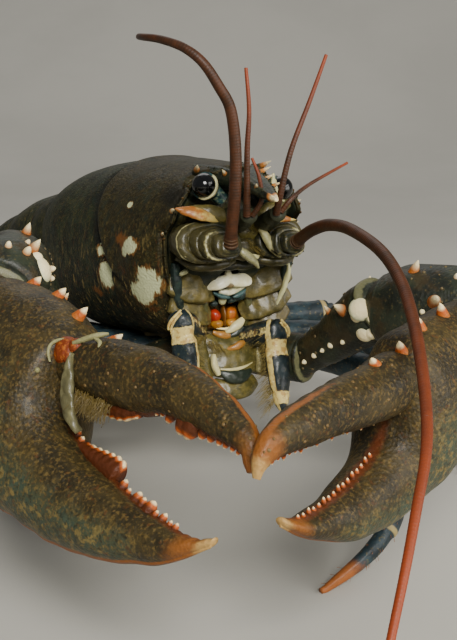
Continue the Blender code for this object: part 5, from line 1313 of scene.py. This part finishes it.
def build_mouth(looks):
    jaws = Shape()
    for hand in HANDS.values():
        lump(jaws, (hand * 3.2 - 0.2, 22.8, -42.4), (2.1, 2.6, 2.4), (-12.0, hand * 16.0, hand * -20.0), 2.2, 0.08,
             rosy=1.0 if hand < 0 else 0.66)
        lump(jaws, (hand * 2.7, 22.8, -45.5), (2.2, 2.8, 1.7), (-12.0, hand * -12.0, 0.0), 2.2, 0.08, seed=73)
        # darker lump behind each mandible: painted shade around the jaws
        lump(jaws, (hand * 4.6, 26.4, -43.4), (3.4, 3.6, 4.0), uneven=0.08, seed=75, dark=0.75)
        lump(jaws, (hand * 4.4, 32.0, -44.0), (4.6, 6.0, 5.0), seed=74)
    # thin dark lump between the mandibles: painted shade in the gap
    lump(jaws, (0.0, 22.8, -42.6), (0.8, 2.4, 4.2), power=2.0, uneven=0.06, dark=1.0)
    strap(jaws, ((-3.4, 21.6, -46.6, 0.35, 0.4), (-0.4, 20.8, -47.2, 0.5, 0.5), (2.4, 20.8, -46.6, 0.3, 0.4)),
          count=24, cream=1.0)
    jaws.make("mandible_pair", looks["mouth"], ["mandibles"], "mouth")
    palps = Shape()
    strap(palps, ((-0.4, 20.6, -48.4, 0.5, 0.6), (1.8, 20.0, -47.5, 1.3, 1.1), (4.6, 19.8, -45.8, 1.5, 1.1),
                  (7.2, 20.2, -43.6, 0.5, 0.6)), pale=1.0)
    strap(palps, ((-4.8, 21.8, -48.0, 0.8, 0.9), (-2.0, 20.9, -49.2, 1.4, 1.3), (1.0, 20.8, -49.8, 1.0, 1.0)),
          golden=0.85, seed=81)
    strap(palps, ((0.6, 20.9, -50.0, 0.5, 0.6), (3.2, 20.3, -49.2, 1.2, 1.1), (6.2, 20.3, -47.4, 1.0, 0.9)), dark=1.0,
          seed=82)
    strap(palps, ((-1.8, 19.0, -54.2, 0.5, 0.6), (0.6, 18.0, -53.8, 1.1, 1.0), (3.4, 17.8, -52.9, 1.3, 1.1),
                  (5.4, 18.4, -52.0, 0.5, 0.6)), golden=0.9, seed=83)
    # broad smooth plates of the smaller jaw legs, one in front of the other
    strap(palps, ((-10.4, 23.0, -50.0, 3.4, 1.6), (-5.0, 21.2, -53.4, 4.4, 2.4), (0.6, 20.6, -54.6, 4.4, 2.6),
                  (6.0, 21.0, -53.4, 4.4, 2.4), (11.0, 22.8, -50.0, 3.4, 1.6)), count=72, uneven=0.12, seed=84)
    strap(palps, ((-8.6, 20.8, -57.2, 4.0, 1.6), (-4.4, 19.0, -58.4, 5.0, 2.4), (0.8, 18.4, -58.8, 5.2, 2.6),
                  (6.0, 18.8, -58.4, 5.0, 2.4), (10.0, 20.6, -57.4, 4.0, 1.6)), count=72, uneven=0.12, seed=85,
          low=0.5)
    strap(palps, ((-7.0, 17.6, -55.0, 0.6, 0.8), (-7.4, 16.8, -58.4, 1.2, 1.2), (-6.4, 16.4, -62.2, 0.8, 0.9)),
          UPRIGHT, pale=0.85, seed=86)
    strap(palps, ((9.4, 17.6, -55.6, 0.5, 0.7), (9.6, 16.8, -59.0, 1.0, 1.0), (8.6, 16.4, -63.0, 0.6, 0.8)), UPRIGHT,
          pale=0.6, seed=87)
    # thin pale arc: a painted highlight line across the jaw-leg plates
    strap(palps, ((-5.6, 16.4, -60.2, 0.25, 0.5), (-2.4, 15.4, -60.7, 0.55, 0.7), (1.0, 15.2, -60.7, 0.6, 0.7),
                  (4.0, 15.5, -60.2, 0.4, 0.6), (6.6, 16.2, -59.4, 0.2, 0.4)), count=30, uneven=0.03, pale=1.0)
    # dark strip under it: painted shade in the slot below the arc
    strap(palps, ((-5.4, 16.8, -61.4, 0.8, 0.8), (-2.0, 15.9, -63.2, 2.2, 1.3), (2.0, 15.8, -63.4, 2.3, 1.3),
                  (5.8, 16.6, -61.8, 1.0, 0.9)), dark=1.0, seed=88)
    strap(palps, ((-7.4, 19.4, -65.4, 2.2, 1.2), (-2.6, 17.6, -67.6, 3.4, 2.0), (3.0, 17.4, -67.8, 3.6, 2.0),
                  (8.2, 19.0, -66.0, 2.4, 1.2)), count=64, uneven=0.12, seed=89)
    for hand in HANDS.values():
        strap(palps, ((11.6, 20.2, -45.6, 1.4, 1.6), (11.8, 19.4, -51.0, 2.8, 2.2), (10.8, 19.0, -57.4, 2.8, 2.2),
                      (9.4, 18.6, -63.6, 1.8, 1.6)), UPRIGHT, seed=90, golden=0.3, hand=hand)
        strap(palps, ((14.8, 19.6, -46.0, 1.2, 1.4), (15.2, 19.0, -51.4, 2.2, 2.0), (14.2, 18.6, -57.6, 2.0, 1.8),
                      (12.6, 18.4, -63.0, 1.0, 1.2)), UPRIGHT, seed=91, low=1.0, hand=hand)
    palps.make("mouth_palps", looks["palp"], ["mandibles"], "mouth")


def jaw_leg_marks(name, share, inner):
    """Cream bands and edges on the dark lower length of a jaw leg."""
    bands = np.zeros_like(share)
    for start, end in JAW_LEG_BANDS[name]:
        band = ease(share, start - 0.03, start + 0.03) * (1.0 - ease(share, end - 0.03, end + 0.03))
        bands = np.maximum(bands, band)
    return np.maximum(bands[:, None], 0.95 * ease(inner, 0.90, 0.98))


def jaw_leg_details(shape, fringe, name, hand, rows, start, end):
    """Small spines, two pale ridges over the knee's outer side, and bristles along the inner side."""
    out = SIDE * hand
    for step in range(7):
        spot = rows[int(len(rows) * (0.26 + 0.09 * step))]
        spine(shape, spot[:3] + out * spot[3] * 0.8, out + unit(end - start) * 0.8, 1.4, 0.4, sink=1.0, sides=9,
              pale=1.0)
    arc = np.linspace(-0.2, 1.0, 7)[:, None]
    for lift, reach in ((1.6, 1.0), (-1.4, 0.8)):
        line = start + out * (2.0 + 2.9 * np.sin(arc * math.pi * 0.6)) * reach
        line = line + UP * ((3.6 - 7.0 * arc) * 0.8 + lift * 0.3) - np.array((0.0, 1.0, 0.0)) * (2.2 - 1.4 * arc)
        width = 0.55 * (1.0 - 0.5 * np.abs(arc - 0.4))
        shape.add(tube_grid(spread(np.hstack([line, width, width]), 30), UP, 16), pale=1.0)
    source = np.random.default_rng(len(name))
    inward = np.array((-hand, 0.25, -0.35))
    share = np.linspace(0.0, 1.0, 8)
    for _ in range(170):
        spot = start + (end - start) * source.uniform(0.0, 0.9) + inward * 2.6 + source.normal(size=3) * 0.6
        way = unit(inward + source.normal(size=3) * 0.3)
        long = source.uniform(3.0, 7.0)
        line = spot + way * (long * share)[:, None] - UP * (1.8 * share ** 2)[:, None]
        fringe.add(round_tube(line, 0.08 * (1.0 - 0.75 * share), (0.2, 1.0, 0.1), 5))


def build_jaw_legs(look, hair_look):
    fringe = Shape()
    for name, points in MAXILLIPEDS.items():
        root, knee, tip = (np.array(point) for point in points)
        side = unit(np.cross(knee - root, tip - knee))
        for part, start, end in (("upper", root, knee), ("lower", knee, tip)):
            share, width, thick = smooth(JAW_LEG_ROWS[part], 12).T
            rows = np.column_stack([start + (end - start) * share[:, None], width, thick])
            grid = tube_grid(rows, side, JAW_LEG_SIDES, 2.2)
            inner = np.abs(np.cos(circle(JAW_LEG_SIDES)))
            pale = jaw_leg_marks(name, share, inner) if part == "lower" else 0.5 * ease(inner, 0.90, 0.99)
            shape = Shape()
            shape.add(push(grid, 0.10 * ripple(grid, 4.0, 81)), pale=pale)
            if part == "lower":
                jaw_leg_details(shape, fringe, name, HANDS[name.split("_")[1]], rows, start, end)
            shape.make_skin(f"{name}_{part}", look, "mouth_leg")
    for tuft in BRISTLE_TUFTS:
        hairs(fringe, *tuft)
    fringe.make("jaw_leg_bristles", hair_look, ["maxilliped_right_lower", "maxilliped_left_lower"], "mouth_leg")


def build_between_feelers(look):
    """Small plates between and under the feeler stems."""
    shape = Shape()
    strap(shape, ((3.2, -4.6, -13.6, 0.7, 0.9), (5.0, -5.6, -17.2, 1.5, 1.3), (7.2, -5.6, -20.6, 1.5, 1.3),
                  (9.6, -4.6, -23.4, 0.5, 0.7)), (1.0, 0.2, 0.6), pale=0.75)
    strap(shape, ((-2.6, -3.4, -20.0, 0.5, 0.7), (-1.4, -3.6, -22.2, 0.9, 0.9), (1.6, -3.2, -22.8, 0.8, 0.8),
                  (3.0, -2.4, -22.4, 0.3, 0.4)), count=32, pale=1.0)
    lump(shape, (-0.4, 2.6, -19.0), (4.2, 4.2, 4.6), power=2.4, uneven=0.2, seed=85, outer=0.9)
    lump(shape, (1.6, 2.0, -13.6), (5.6, 4.2, 4.0), power=2.4, uneven=0.2, seed=86, outer=1.0, yellow=0.8)
    strap(shape, ((-5.4, -3.0, -19.0, 0.6, 0.8), (-2.4, -4.0, -21.6, 1.5, 1.1), (0.6, -4.2, -24.4, 1.1, 0.9),
                  (1.8, -3.8, -26.4, 0.3, 0.4)), (1.0, 0.2, 0.6), pale=0.6)
    lump(shape, (-4.6, 2.0, -9.0), (3.6, 4.0, 2.8), power=2.4, uneven=0.15, seed=87, outer=0.4)
    strap(shape, ((-22.4, 6.4, -21.0, 0.7, 1.2), (-17.4, 3.0, -24.2, 1.3, 2.0), (-10.0, 0.6, -24.4, 1.4, 2.4),
                  (-4.4, 2.0, -23.4, 0.9, 1.6)), seed=89, outer=0.8)
    strap(shape, ((20.4, 6.4, -22.6, 0.7, 1.2), (15.8, 2.6, -25.0, 1.3, 2.0), (9.6, 0.8, -25.0, 1.4, 2.4),
                  (4.0, 2.4, -23.8, 0.9, 1.6)), seed=90, outer=0.8)
    strap(shape, ((-10.0, 9.4, -24.6, 1.4, 1.1), (-4.0, 8.6, -24.8, 1.9, 1.4), (3.0, 8.6, -25.0, 1.9, 1.4),
                  (10.0, 9.4, -25.2, 1.4, 1.1)), seed=93, outer=0.3)
    strap(shape, ((-6.2, -3.8, -4.8, 0.4, 0.5), (-6.0, -4.8, -8.0, 0.8, 0.7), (-5.2, -4.4, -11.0, 0.4, 0.5)),
          (1.0, 0.0, 0.0), pale=0.8)
    strap(shape, ((7.6, -8.2, 3.4, 0.3, 0.4), (6.8, -8.6, -0.6, 0.9, 0.8), (5.8, -8.0, -4.2, 0.5, 0.5)),
          (1.0, 0.0, 0.0), pale=1.0)
    shape.make("feeler_root_plates", look, ["antenna_base_right", "antenna_base_left"], "feeler_stem")


def build_sternum(look):
    back, width, bottom = smooth(STERNUM, 12).T
    top = -38.0
    middle = (top + bottom) / 2.0
    centres = body(np.stack([0.0 * back, back, middle], -1))
    grid = ovals(centres, SIDE, turned(UP), width, top - middle, middle - bottom, circle(80), 3.4)
    shape = Shape()
    shape.add(push(grid, 0.3 * ripple(grid, 7.0, 41)))
    shape.make("sternum_plate", look, ["sternum"], "underside")


# looks

# name, two colours and size of the clouds; then, in order, marked areas (mark, colour, ...) and speckle
# (colour, size, ...); then roughness, relief, coat, pits and shine
LOOKS = {
    "shell": (("carapace_skin", (40, 47, 28), (24, 29, 18), 8.0), (
        ("ahead", (46, 38, 17), 0.3, 0.8, 6.0, 0.9, 0.7),
        ((84, 76, 40), 1.3, 0.52, 0.66, 0.45),
        ((98, 74, 38), 0.7, 0.56, 0.68, 0.55),
        ((17, 17, 10), 3.0, 0.50, 0.64, 0.6),
        ((30, 40, 32), 5.0, 0.52, 0.64, 0.5),
        ((138, 118, 68), 1.7, 0.57, 0.65, 0.8, "low", (1.0, 1.0, 0.28)),
        ((96, 52, 20), 2.0, 0.58, 0.67, 0.55, "low", (1.0, 1.0, 0.5)),
        # painted shade in the neck and side grooves
        ("hollow", (11, 12, 7), 0.2, 0.9, 2.0, 0.3, 0.85),
        # painted shadow in the eye sockets
        ("socket", (20, 17, 10), 0.0, 0.7, 3.0, 0.4, 0.85),
        ("rust", (124, 76, 30), 0.1, 0.6, 1.3, 1.5, 0.85, (1.0, 1.0, 0.35)),
        ("pale", (116, 78, 36), 0.0, 0.2, 1.3, 1.1, 0.8, (1.0, 1.0, 0.4)),
        ("pale", (196, 200, 156), 0.14, 0.34, 1.5, 1.0, 0.96, (1.0, 1.0, 0.28)),
        ("rim", (70, 66, 40), 0.6, 0.9, 2.0, 0.3, 0.4),
    ), ((0.50, 0.66), ((0.6, 0.12), (1.8, 0.12)), 0.03, (0.9, 0.16), 0.2)),
    "beak": (("rostrum_skin", (44, 50, 34), (22, 27, 20), 4.0), (
        ((90, 84, 52), 0.8, 0.55, 0.69, 0.6),
        ("ridge", (80, 68, 36), 0.4, 0.9, 1.5, 0.6, 0.5),
        ("tip", (184, 116, 50), 0.26, 0.55, 1.0, 0.2),
        ("tip", (232, 216, 168), 0.50, 0.86, 1.0, 0.2),
    ), ((0.46, 0.60), ((0.5, 0.10), (1.4, 0.08)), 0.04, (0.9, 0.14))),
    "claw": (("claw_skin", (60, 50, 25), (40, 34, 18), 9.0), (
        ("cool", (60, 68, 50), 0.15, 0.85, 10.0, 0.8, 0.85),
        ((52, 72, 62), 3.0, 0.50, 0.66, 0.5, "cool"),
        ((104, 84, 42), 1.0, 0.50, 0.64, 0.6),
        ((130, 110, 58), 2.3, 0.52, 0.63, 0.7, "cool"),
        ((88, 50, 20), 1.8, 0.58, 0.68, 0.45),
        ((29, 25, 13), 1.3, 0.54, 0.66, 0.6),
        ((27, 25, 14), 5.0, 0.54, 0.70, 0.4),
        ("grain", (120, 94, 54), 0.5, 0.8, 1.0, 0.2, 0.6),
        ("keel", (132, 76, 26), 0.35, 0.85, 1.6, 0.5, 0.92),
        ("edge", (92, 42, 13), 0.30, 0.95, 1.4, 0.7, 0.85),
        ("tooth", (78, 35, 11), 0.70, 0.95, 1.0, 0.1, 0.95),
        ("point", (128, 76, 28), 0.20, 0.75, 2.0, 0.4, 0.92),
        ("point", (176, 142, 84), 0.86, 1.0, 1.6, 0.2, 0.9),
        ("hinged", (112, 46, 14), 0.4, 0.7, 1.0, 0.5),
        ((164, 92, 30), 1.2, 0.50, 0.62, 0.8, "hinged"),
        ("bony", (132, 128, 88), 0.5, 0.7, 1.0, 0.6),
        ("spiny", (164, 92, 32), 0.5, 0.6, 1.0, 0.0),
        ("tip", (170, 80, 24), 0.36, 0.62, 1.0, 0.16),
        # cream tips: on the teeth a painted highlight, on the spines their own pale colour
        ("tip", (240, 218, 166), 0.62, 0.84, 1.0, 0.12),
    ), ((0.46, 0.62), ((0.7, 0.12), (2.6, 0.14)), 0.04, (1.0, 0.16), 0.26)),
    "arm": (("arm_skin", (40, 46, 32), (23, 26, 18), 8.0), (
        ((88, 76, 42), 1.0, 0.57, 0.69, 0.65),
        ((58, 45, 22), 7.0, 0.5, 0.62, 0.6),
        ("grain", (112, 94, 58), 0.5, 0.8, 1.0, 0.2, 0.6),
        ("rim", (128, 126, 86), 0.60, 0.95, 1.6, 0.8, 0.5),
        ("spiny", (168, 94, 34), 0.5, 0.6, 1.0, 0.0),
        ("bony", (212, 212, 172), 0.5, 0.6, 1.0, 0.0),
        ("tip", (240, 222, 172), 0.30, 0.90, 1.0, 0.12),
    ), ((0.42, 0.58), ((0.7, 0.10), (2.6, 0.12)), 0.05, (1.1, 0.12))),
    "leg": (("leg_skin", (38, 56, 62), (23, 33, 37), 6.0), (
        ((104, 94, 58), 1.2, 0.57, 0.69, 0.6),
        ("rim", (168, 148, 94), 0.4, 0.8, 1.6, 0.3, 0.8),
        ("hair", (112, 86, 46), 0.5, 0.8, 1.0, 0.0),
        ("tip", (150, 86, 38), 0.3, 0.7, 2.0, 0.4),
    ), ((0.42, 0.58), ((0.8, 0.10),), 0.05, (1.1, 0.08))),
    "tail": (("tail_skin", (46, 48, 28), (27, 30, 19), 9.0), (
        ((92, 80, 44), 1.1, 0.54, 0.67, 0.6),
        ((40, 46, 32), 12.0, 0.5, 0.66, 0.5),
        ("low", (120, 102, 62), 0.5, 0.9, 3.0, 0.5, 0.85),
        ("rim", (112, 78, 36), 0.5, 0.85, 1.6, 0.3, 0.7),
    ), ((0.48, 0.64), ((0.7, 0.10), (2.0, 0.08)), 0.04, (1.0, 0.14), 0.24)),
    "under": (("under_skin", (150, 132, 86), (104, 90, 54), 6.0), (
        ((80, 74, 48), 3.0, 0.54, 0.68, 0.6),
    ), ((0.45, 0.6), ((1.0, 0.14),))),
    "wall": (("face_wall_skin", (62, 60, 32), (34, 38, 24), 3.2), (
        ((100, 90, 48), 1.1, 0.54, 0.67, 0.6),
        ("low", (98, 86, 44), 0.4, 0.9, 3.0, 0.9, 0.8),
        # painted shade on the face wall
        ("dark", (24, 32, 22), 0.35, 0.8, 2.5, 0.6, 0.85),
    ), ((0.40, 0.58), ((0.7, 0.16), (2.0, 0.16)), 0.06)),
    "plate": (("plate_skin", (252, 248, 220), (236, 228, 182), 3.0), (
        ("duller", (150, 148, 100), 0.4, 0.9, 1.6, 0.5, 0.9),
        ("stained", (92, 68, 28), 0.4, 0.8, 1.2, 0.3, 0.9),
    ), ((0.30, 0.46), ((0.8, 0.08),), 0.15)),
    "tan": (("tan_skin", (102, 90, 44), (72, 66, 34), 3.6), (
        ((134, 120, 66), 1.0, 0.55, 0.67, 0.6, None, (1.0, 1.0, 2.4)),
        ((66, 62, 34), 4.0, 0.48, 0.68, 0.6, None, (0.5, 0.5, 1.2)),
        ((56, 50, 26), 1.6, 0.54, 0.66, 0.6, None, (0.25, 0.6, 1.6)),
        ("low", (92, 78, 38), 0.4, 1.0, 2.0, 0.5, 0.7),
        ("duller", (70, 72, 42), 0.4, 0.9, 1.6, 0.5, 0.8),
    ), ((0.30, 0.48), ((0.6, 0.12), (1.8, 0.14)), 0.15)),
    "teal": (("teal_skin", (34, 50, 44), (20, 30, 27), 2.6), (
        ((100, 108, 80), 0.9, 0.58, 0.69, 0.6),
        ("blue", (52, 82, 80), 0.4, 0.8, 1.4, 1.4, 0.9),
        # on the small cheek lumps this pale is a painted highlight
        ("pale", (208, 204, 150), 0.4, 0.8, 1.4, 0.4, 0.95),
    ), ((0.30, 0.46), ((0.7, 0.12),), 0.15)),
    "mouth": (("mouth_skin", (178, 124, 38), (146, 96, 30), 2.4), (
        ("rosy", (158, 40, 10), 0.35, 1.0, 1.6, 0.5),
        # dark: painted shade behind and between the mandibles
        ("dark", (84, 52, 22), 0.4, 0.8, 1.6, 0.3, 0.8),
        ("cream", (232, 214, 150), 0.4, 0.8, 1.6, 0.1),
    ), ((0.24, 0.38), ((0.8, 0.08),), 0.25)),
    "palp": (("palp_skin", (98, 88, 42), (70, 66, 33), 3.4), (
        ((130, 116, 62), 1.1, 0.55, 0.67, 0.55, None, (1.0, 1.0, 2.0)),
        ("low", (78, 74, 38), 0.4, 1.0, 2.0, 0.5, 0.8),
        ("golden", (160, 108, 42), 0.4, 0.9, 1.4, 0.6, 0.9),
        # on the strip under the pale arc this dark is painted shade
        ("dark", (28, 40, 34), 0.4, 0.8, 1.4, 0.4, 0.92),
        # on the thin arc this pale is a painted highlight
        ("pale", (206, 196, 142), 0.4, 0.8, 1.2, 0.6, 0.92),
        ("bare", (84, 80, 54), 0.4, 0.8, 3.0, 0.4, 0.92),
        ((122, 116, 80), 3.0, 0.46, 0.66, 0.7, "bare", (1.0, 1.0, 0.3)),
        ("tufted", (100, 84, 42), 0.4, 0.8, 3.0, 0.4, 0.92),
    ), ((0.30, 0.48), ((0.7, 0.10),), 0.15)),
    "jaw_leg": (("jaw_leg_skin", (30, 42, 45), (18, 25, 27), 3.6), (
        ((88, 86, 54), 1.0, 0.57, 0.69, 0.6),
        ("pale", (214, 192, 118), 0.40, 0.70, 1.4, 1.2, 0.95),
        ((150, 100, 38), 1.8, 0.48, 0.62, 0.6, "pale"),
        ((230, 214, 156), 2.2, 0.56, 0.64, 0.7, "pale"),
        ("tip", (220, 196, 136), 0.5, 0.8, 1.0, 0.1),
    ), ((0.30, 0.46), ((0.7, 0.12),), 0.12)),
    "bristle": (("bristle_skin", (140, 122, 60), (100, 86, 40), 2.0), (), ((0.45, 0.6), ((0.5, 0.05),))),
    "stem": (("feeler_stem_skin", (52, 50, 28), (26, 30, 20), 3.0), (
        ("outer", (70, 64, 34), 0.35, 1.0, 2.4, 0.9, 0.75),
        ("yellow", (108, 98, 42), 0.4, 0.9, 1.6, 0.9, 0.85),
        ((104, 92, 52), 1.0, 0.56, 0.68, 0.65),
        ((22, 26, 18), 2.2, 0.54, 0.68, 0.6),
        ("scaled", (196, 172, 98), 0.5, 0.9, 1.6, 0.5, 0.95),
        ("burnt", (142, 76, 22), 0.30, 0.75, 1.4, 1.1, 0.9),
        ("rim", (190, 182, 130), 0.50, 0.90, 1.2, 0.8, 0.9),
        ("pale", (196, 190, 136), 0.40, 0.9, 1.4, 0.4, 0.95),
    ), ((0.30, 0.46), ((0.7, 0.12),), 0.12)),
    "whip": (("feeler_skin", (66, 35, 13), (48, 27, 10), 4.0), (
        ("reach", (146, 58, 20), 0.30, 1.0, 8.0, 0.2, 0.9),
        ("ringed", (92, 48, 20), 0.6, 1.0, 3.0, 0.2, 0.22),
        ("collar", (74, 52, 26), 0.4, 0.8, 1.0, 0.2, 0.7),
        ("stemmed", (42, 44, 28), 0.4, 0.6, 2.0, 0.2),
    ), ((0.44, 0.60), ((0.6, 0.06),), 0.03)),
    "eye": (("eye_skin", (8, 9, 8), (4, 5, 5), 1.0), (), ((0.10, 0.16), ((0.3, 0.01),), 0.35)),
    "stalk": (("eyestalk_skin", (44, 78, 78), (24, 42, 42), 2.4), (
        ((142, 150, 112), 1.2, 0.55, 0.66, 0.7),
        ("rim", (214, 208, 156), 0.55, 0.9, 1.2, 0.2, 0.95),
    ), ((0.30, 0.44), ((0.7, 0.08),), 0.15)),
}


def make_look(start, layers, end):
    look = Look(*start)
    for layer in layers:
        paint = look.area if isinstance(layer[0], str) else look.speckle
        paint(*layer)
    return look.finish(*end)


def build_stage():
    """Pale floor that rises in a wide curve behind, like a roll of paper."""
    mesh = bpy.data.meshes.new("floor")
    steps = np.linspace(0.0, 0.5 * math.pi, 24)
    curve = [(0.7 + 0.8 * math.sin(turn), 0.8 - 0.8 * math.cos(turn)) for turn in steps[1:]]
    profile = [(-2.4, 0.0), (0.7, 0.0), *curve, (1.5, 3.0)]
    heading = unit((*VIEW_WAY[:2], 0.0))
    across = np.array((heading[1], -heading[0], 0.0))
    points = []
    for back, up in profile:
        for side in (-3.0, 3.0):
            points.append(tuple(heading * back + across * side + UP * up))
    faces = [(2 * row, 2 * row + 1, 2 * row + 3, 2 * row + 2) for row in range(len(profile) - 1)]
    mesh.from_pydata(points, [], faces)
    mesh.polygons.foreach_set("use_smooth", [True] * len(faces))
    floor = bpy.data.objects.new("floor", mesh)
    bpy.context.scene.collection.objects.link(floor)
    paper = Look("floor_skin", (178, 175, 166), (172, 169, 160), 300.0)
    mesh.materials.append(paper.finish((0.8, 0.9), ((0.5, 0.0),)))


def add_light(name, place, aim, size, power, colour=(1.0, 1.0, 1.0)):
    lamp = bpy.data.lights.new(name, "AREA")
    lamp.size = size
    lamp.energy = power
    lamp.color = colour
    item = bpy.data.objects.new(name, lamp)
    bpy.context.scene.collection.objects.link(item)
    item.location = place
    direction = np.asarray(aim) - np.asarray(place)
    item.rotation_euler = look_angles(direction)


def look_angles(direction):
    """Turns that point an object's -Z along a direction."""
    x, y, z = unit(direction)
    return (math.acos(-z), 0.0, math.atan2(-x, y))


def build_view():
    view = bpy.data.cameras.new("view")
    view.lens = SENSOR * FOCAL_LENGTH / PICTURE_HEIGHT
    view.sensor_width = SENSOR
    view.clip_start = 0.01
    item = bpy.data.objects.new("view", view)
    bpy.context.scene.collection.objects.link(item)
    item.location = (VIEW_PLACE + SHIFT) * MM
    item.rotation_euler = look_angles(VIEW_WAY)
    bpy.context.scene.camera = item
    add_light("key", (-0.28, -1.05, 0.78), (0.0, -0.05, 0.07), 0.45, 20.0, (1.0, 0.98, 0.93))
    add_light("fill", (0.62, -0.85, 0.30), (0.0, 0.0, 0.06), 0.8, 10.0, (1.0, 0.98, 0.94))
    add_light("back", (0.3, 0.8, 0.9), (0.0, 0.05, 0.08), 0.8, 3.0)
    world = bpy.data.worlds.new("world")
    world.use_nodes = True
    world.node_tree.nodes["Background"].inputs["Color"].default_value = (0.86, 0.88, 0.9, 1.0)
    world.node_tree.nodes["Background"].inputs["Strength"].default_value = 0.28
    bpy.context.scene.world = world


looks = {key: make_look(*parts) for key, parts in LOOKS.items()}
build_stage()
build_view()
build_carapace(looks["shell"])
build_rostrum(looks["beak"])
build_face_wall(looks["wall"])
for label, claw in (("right", CRUSHER), ("left", CUTTER)):
    build_arm(label, claw, looks["arm"])
    build_claw(label, claw, looks["claw"])
build_soft_joint(looks["palp"], looks["claw"])
build_legs(looks["leg"])
build_tail(looks["tail"])
build_fan(looks["tail"])
build_eyes(looks["eye"], looks["stalk"])
build_stems(looks["stem"])
build_between_feelers(looks["stem"])
build_feelers(looks["whip"])
build_face_plates(looks)
build_mouth(looks)
build_jaw_legs(looks["jaw_leg"], looks["bristle"])
build_sternum(looks["under"])
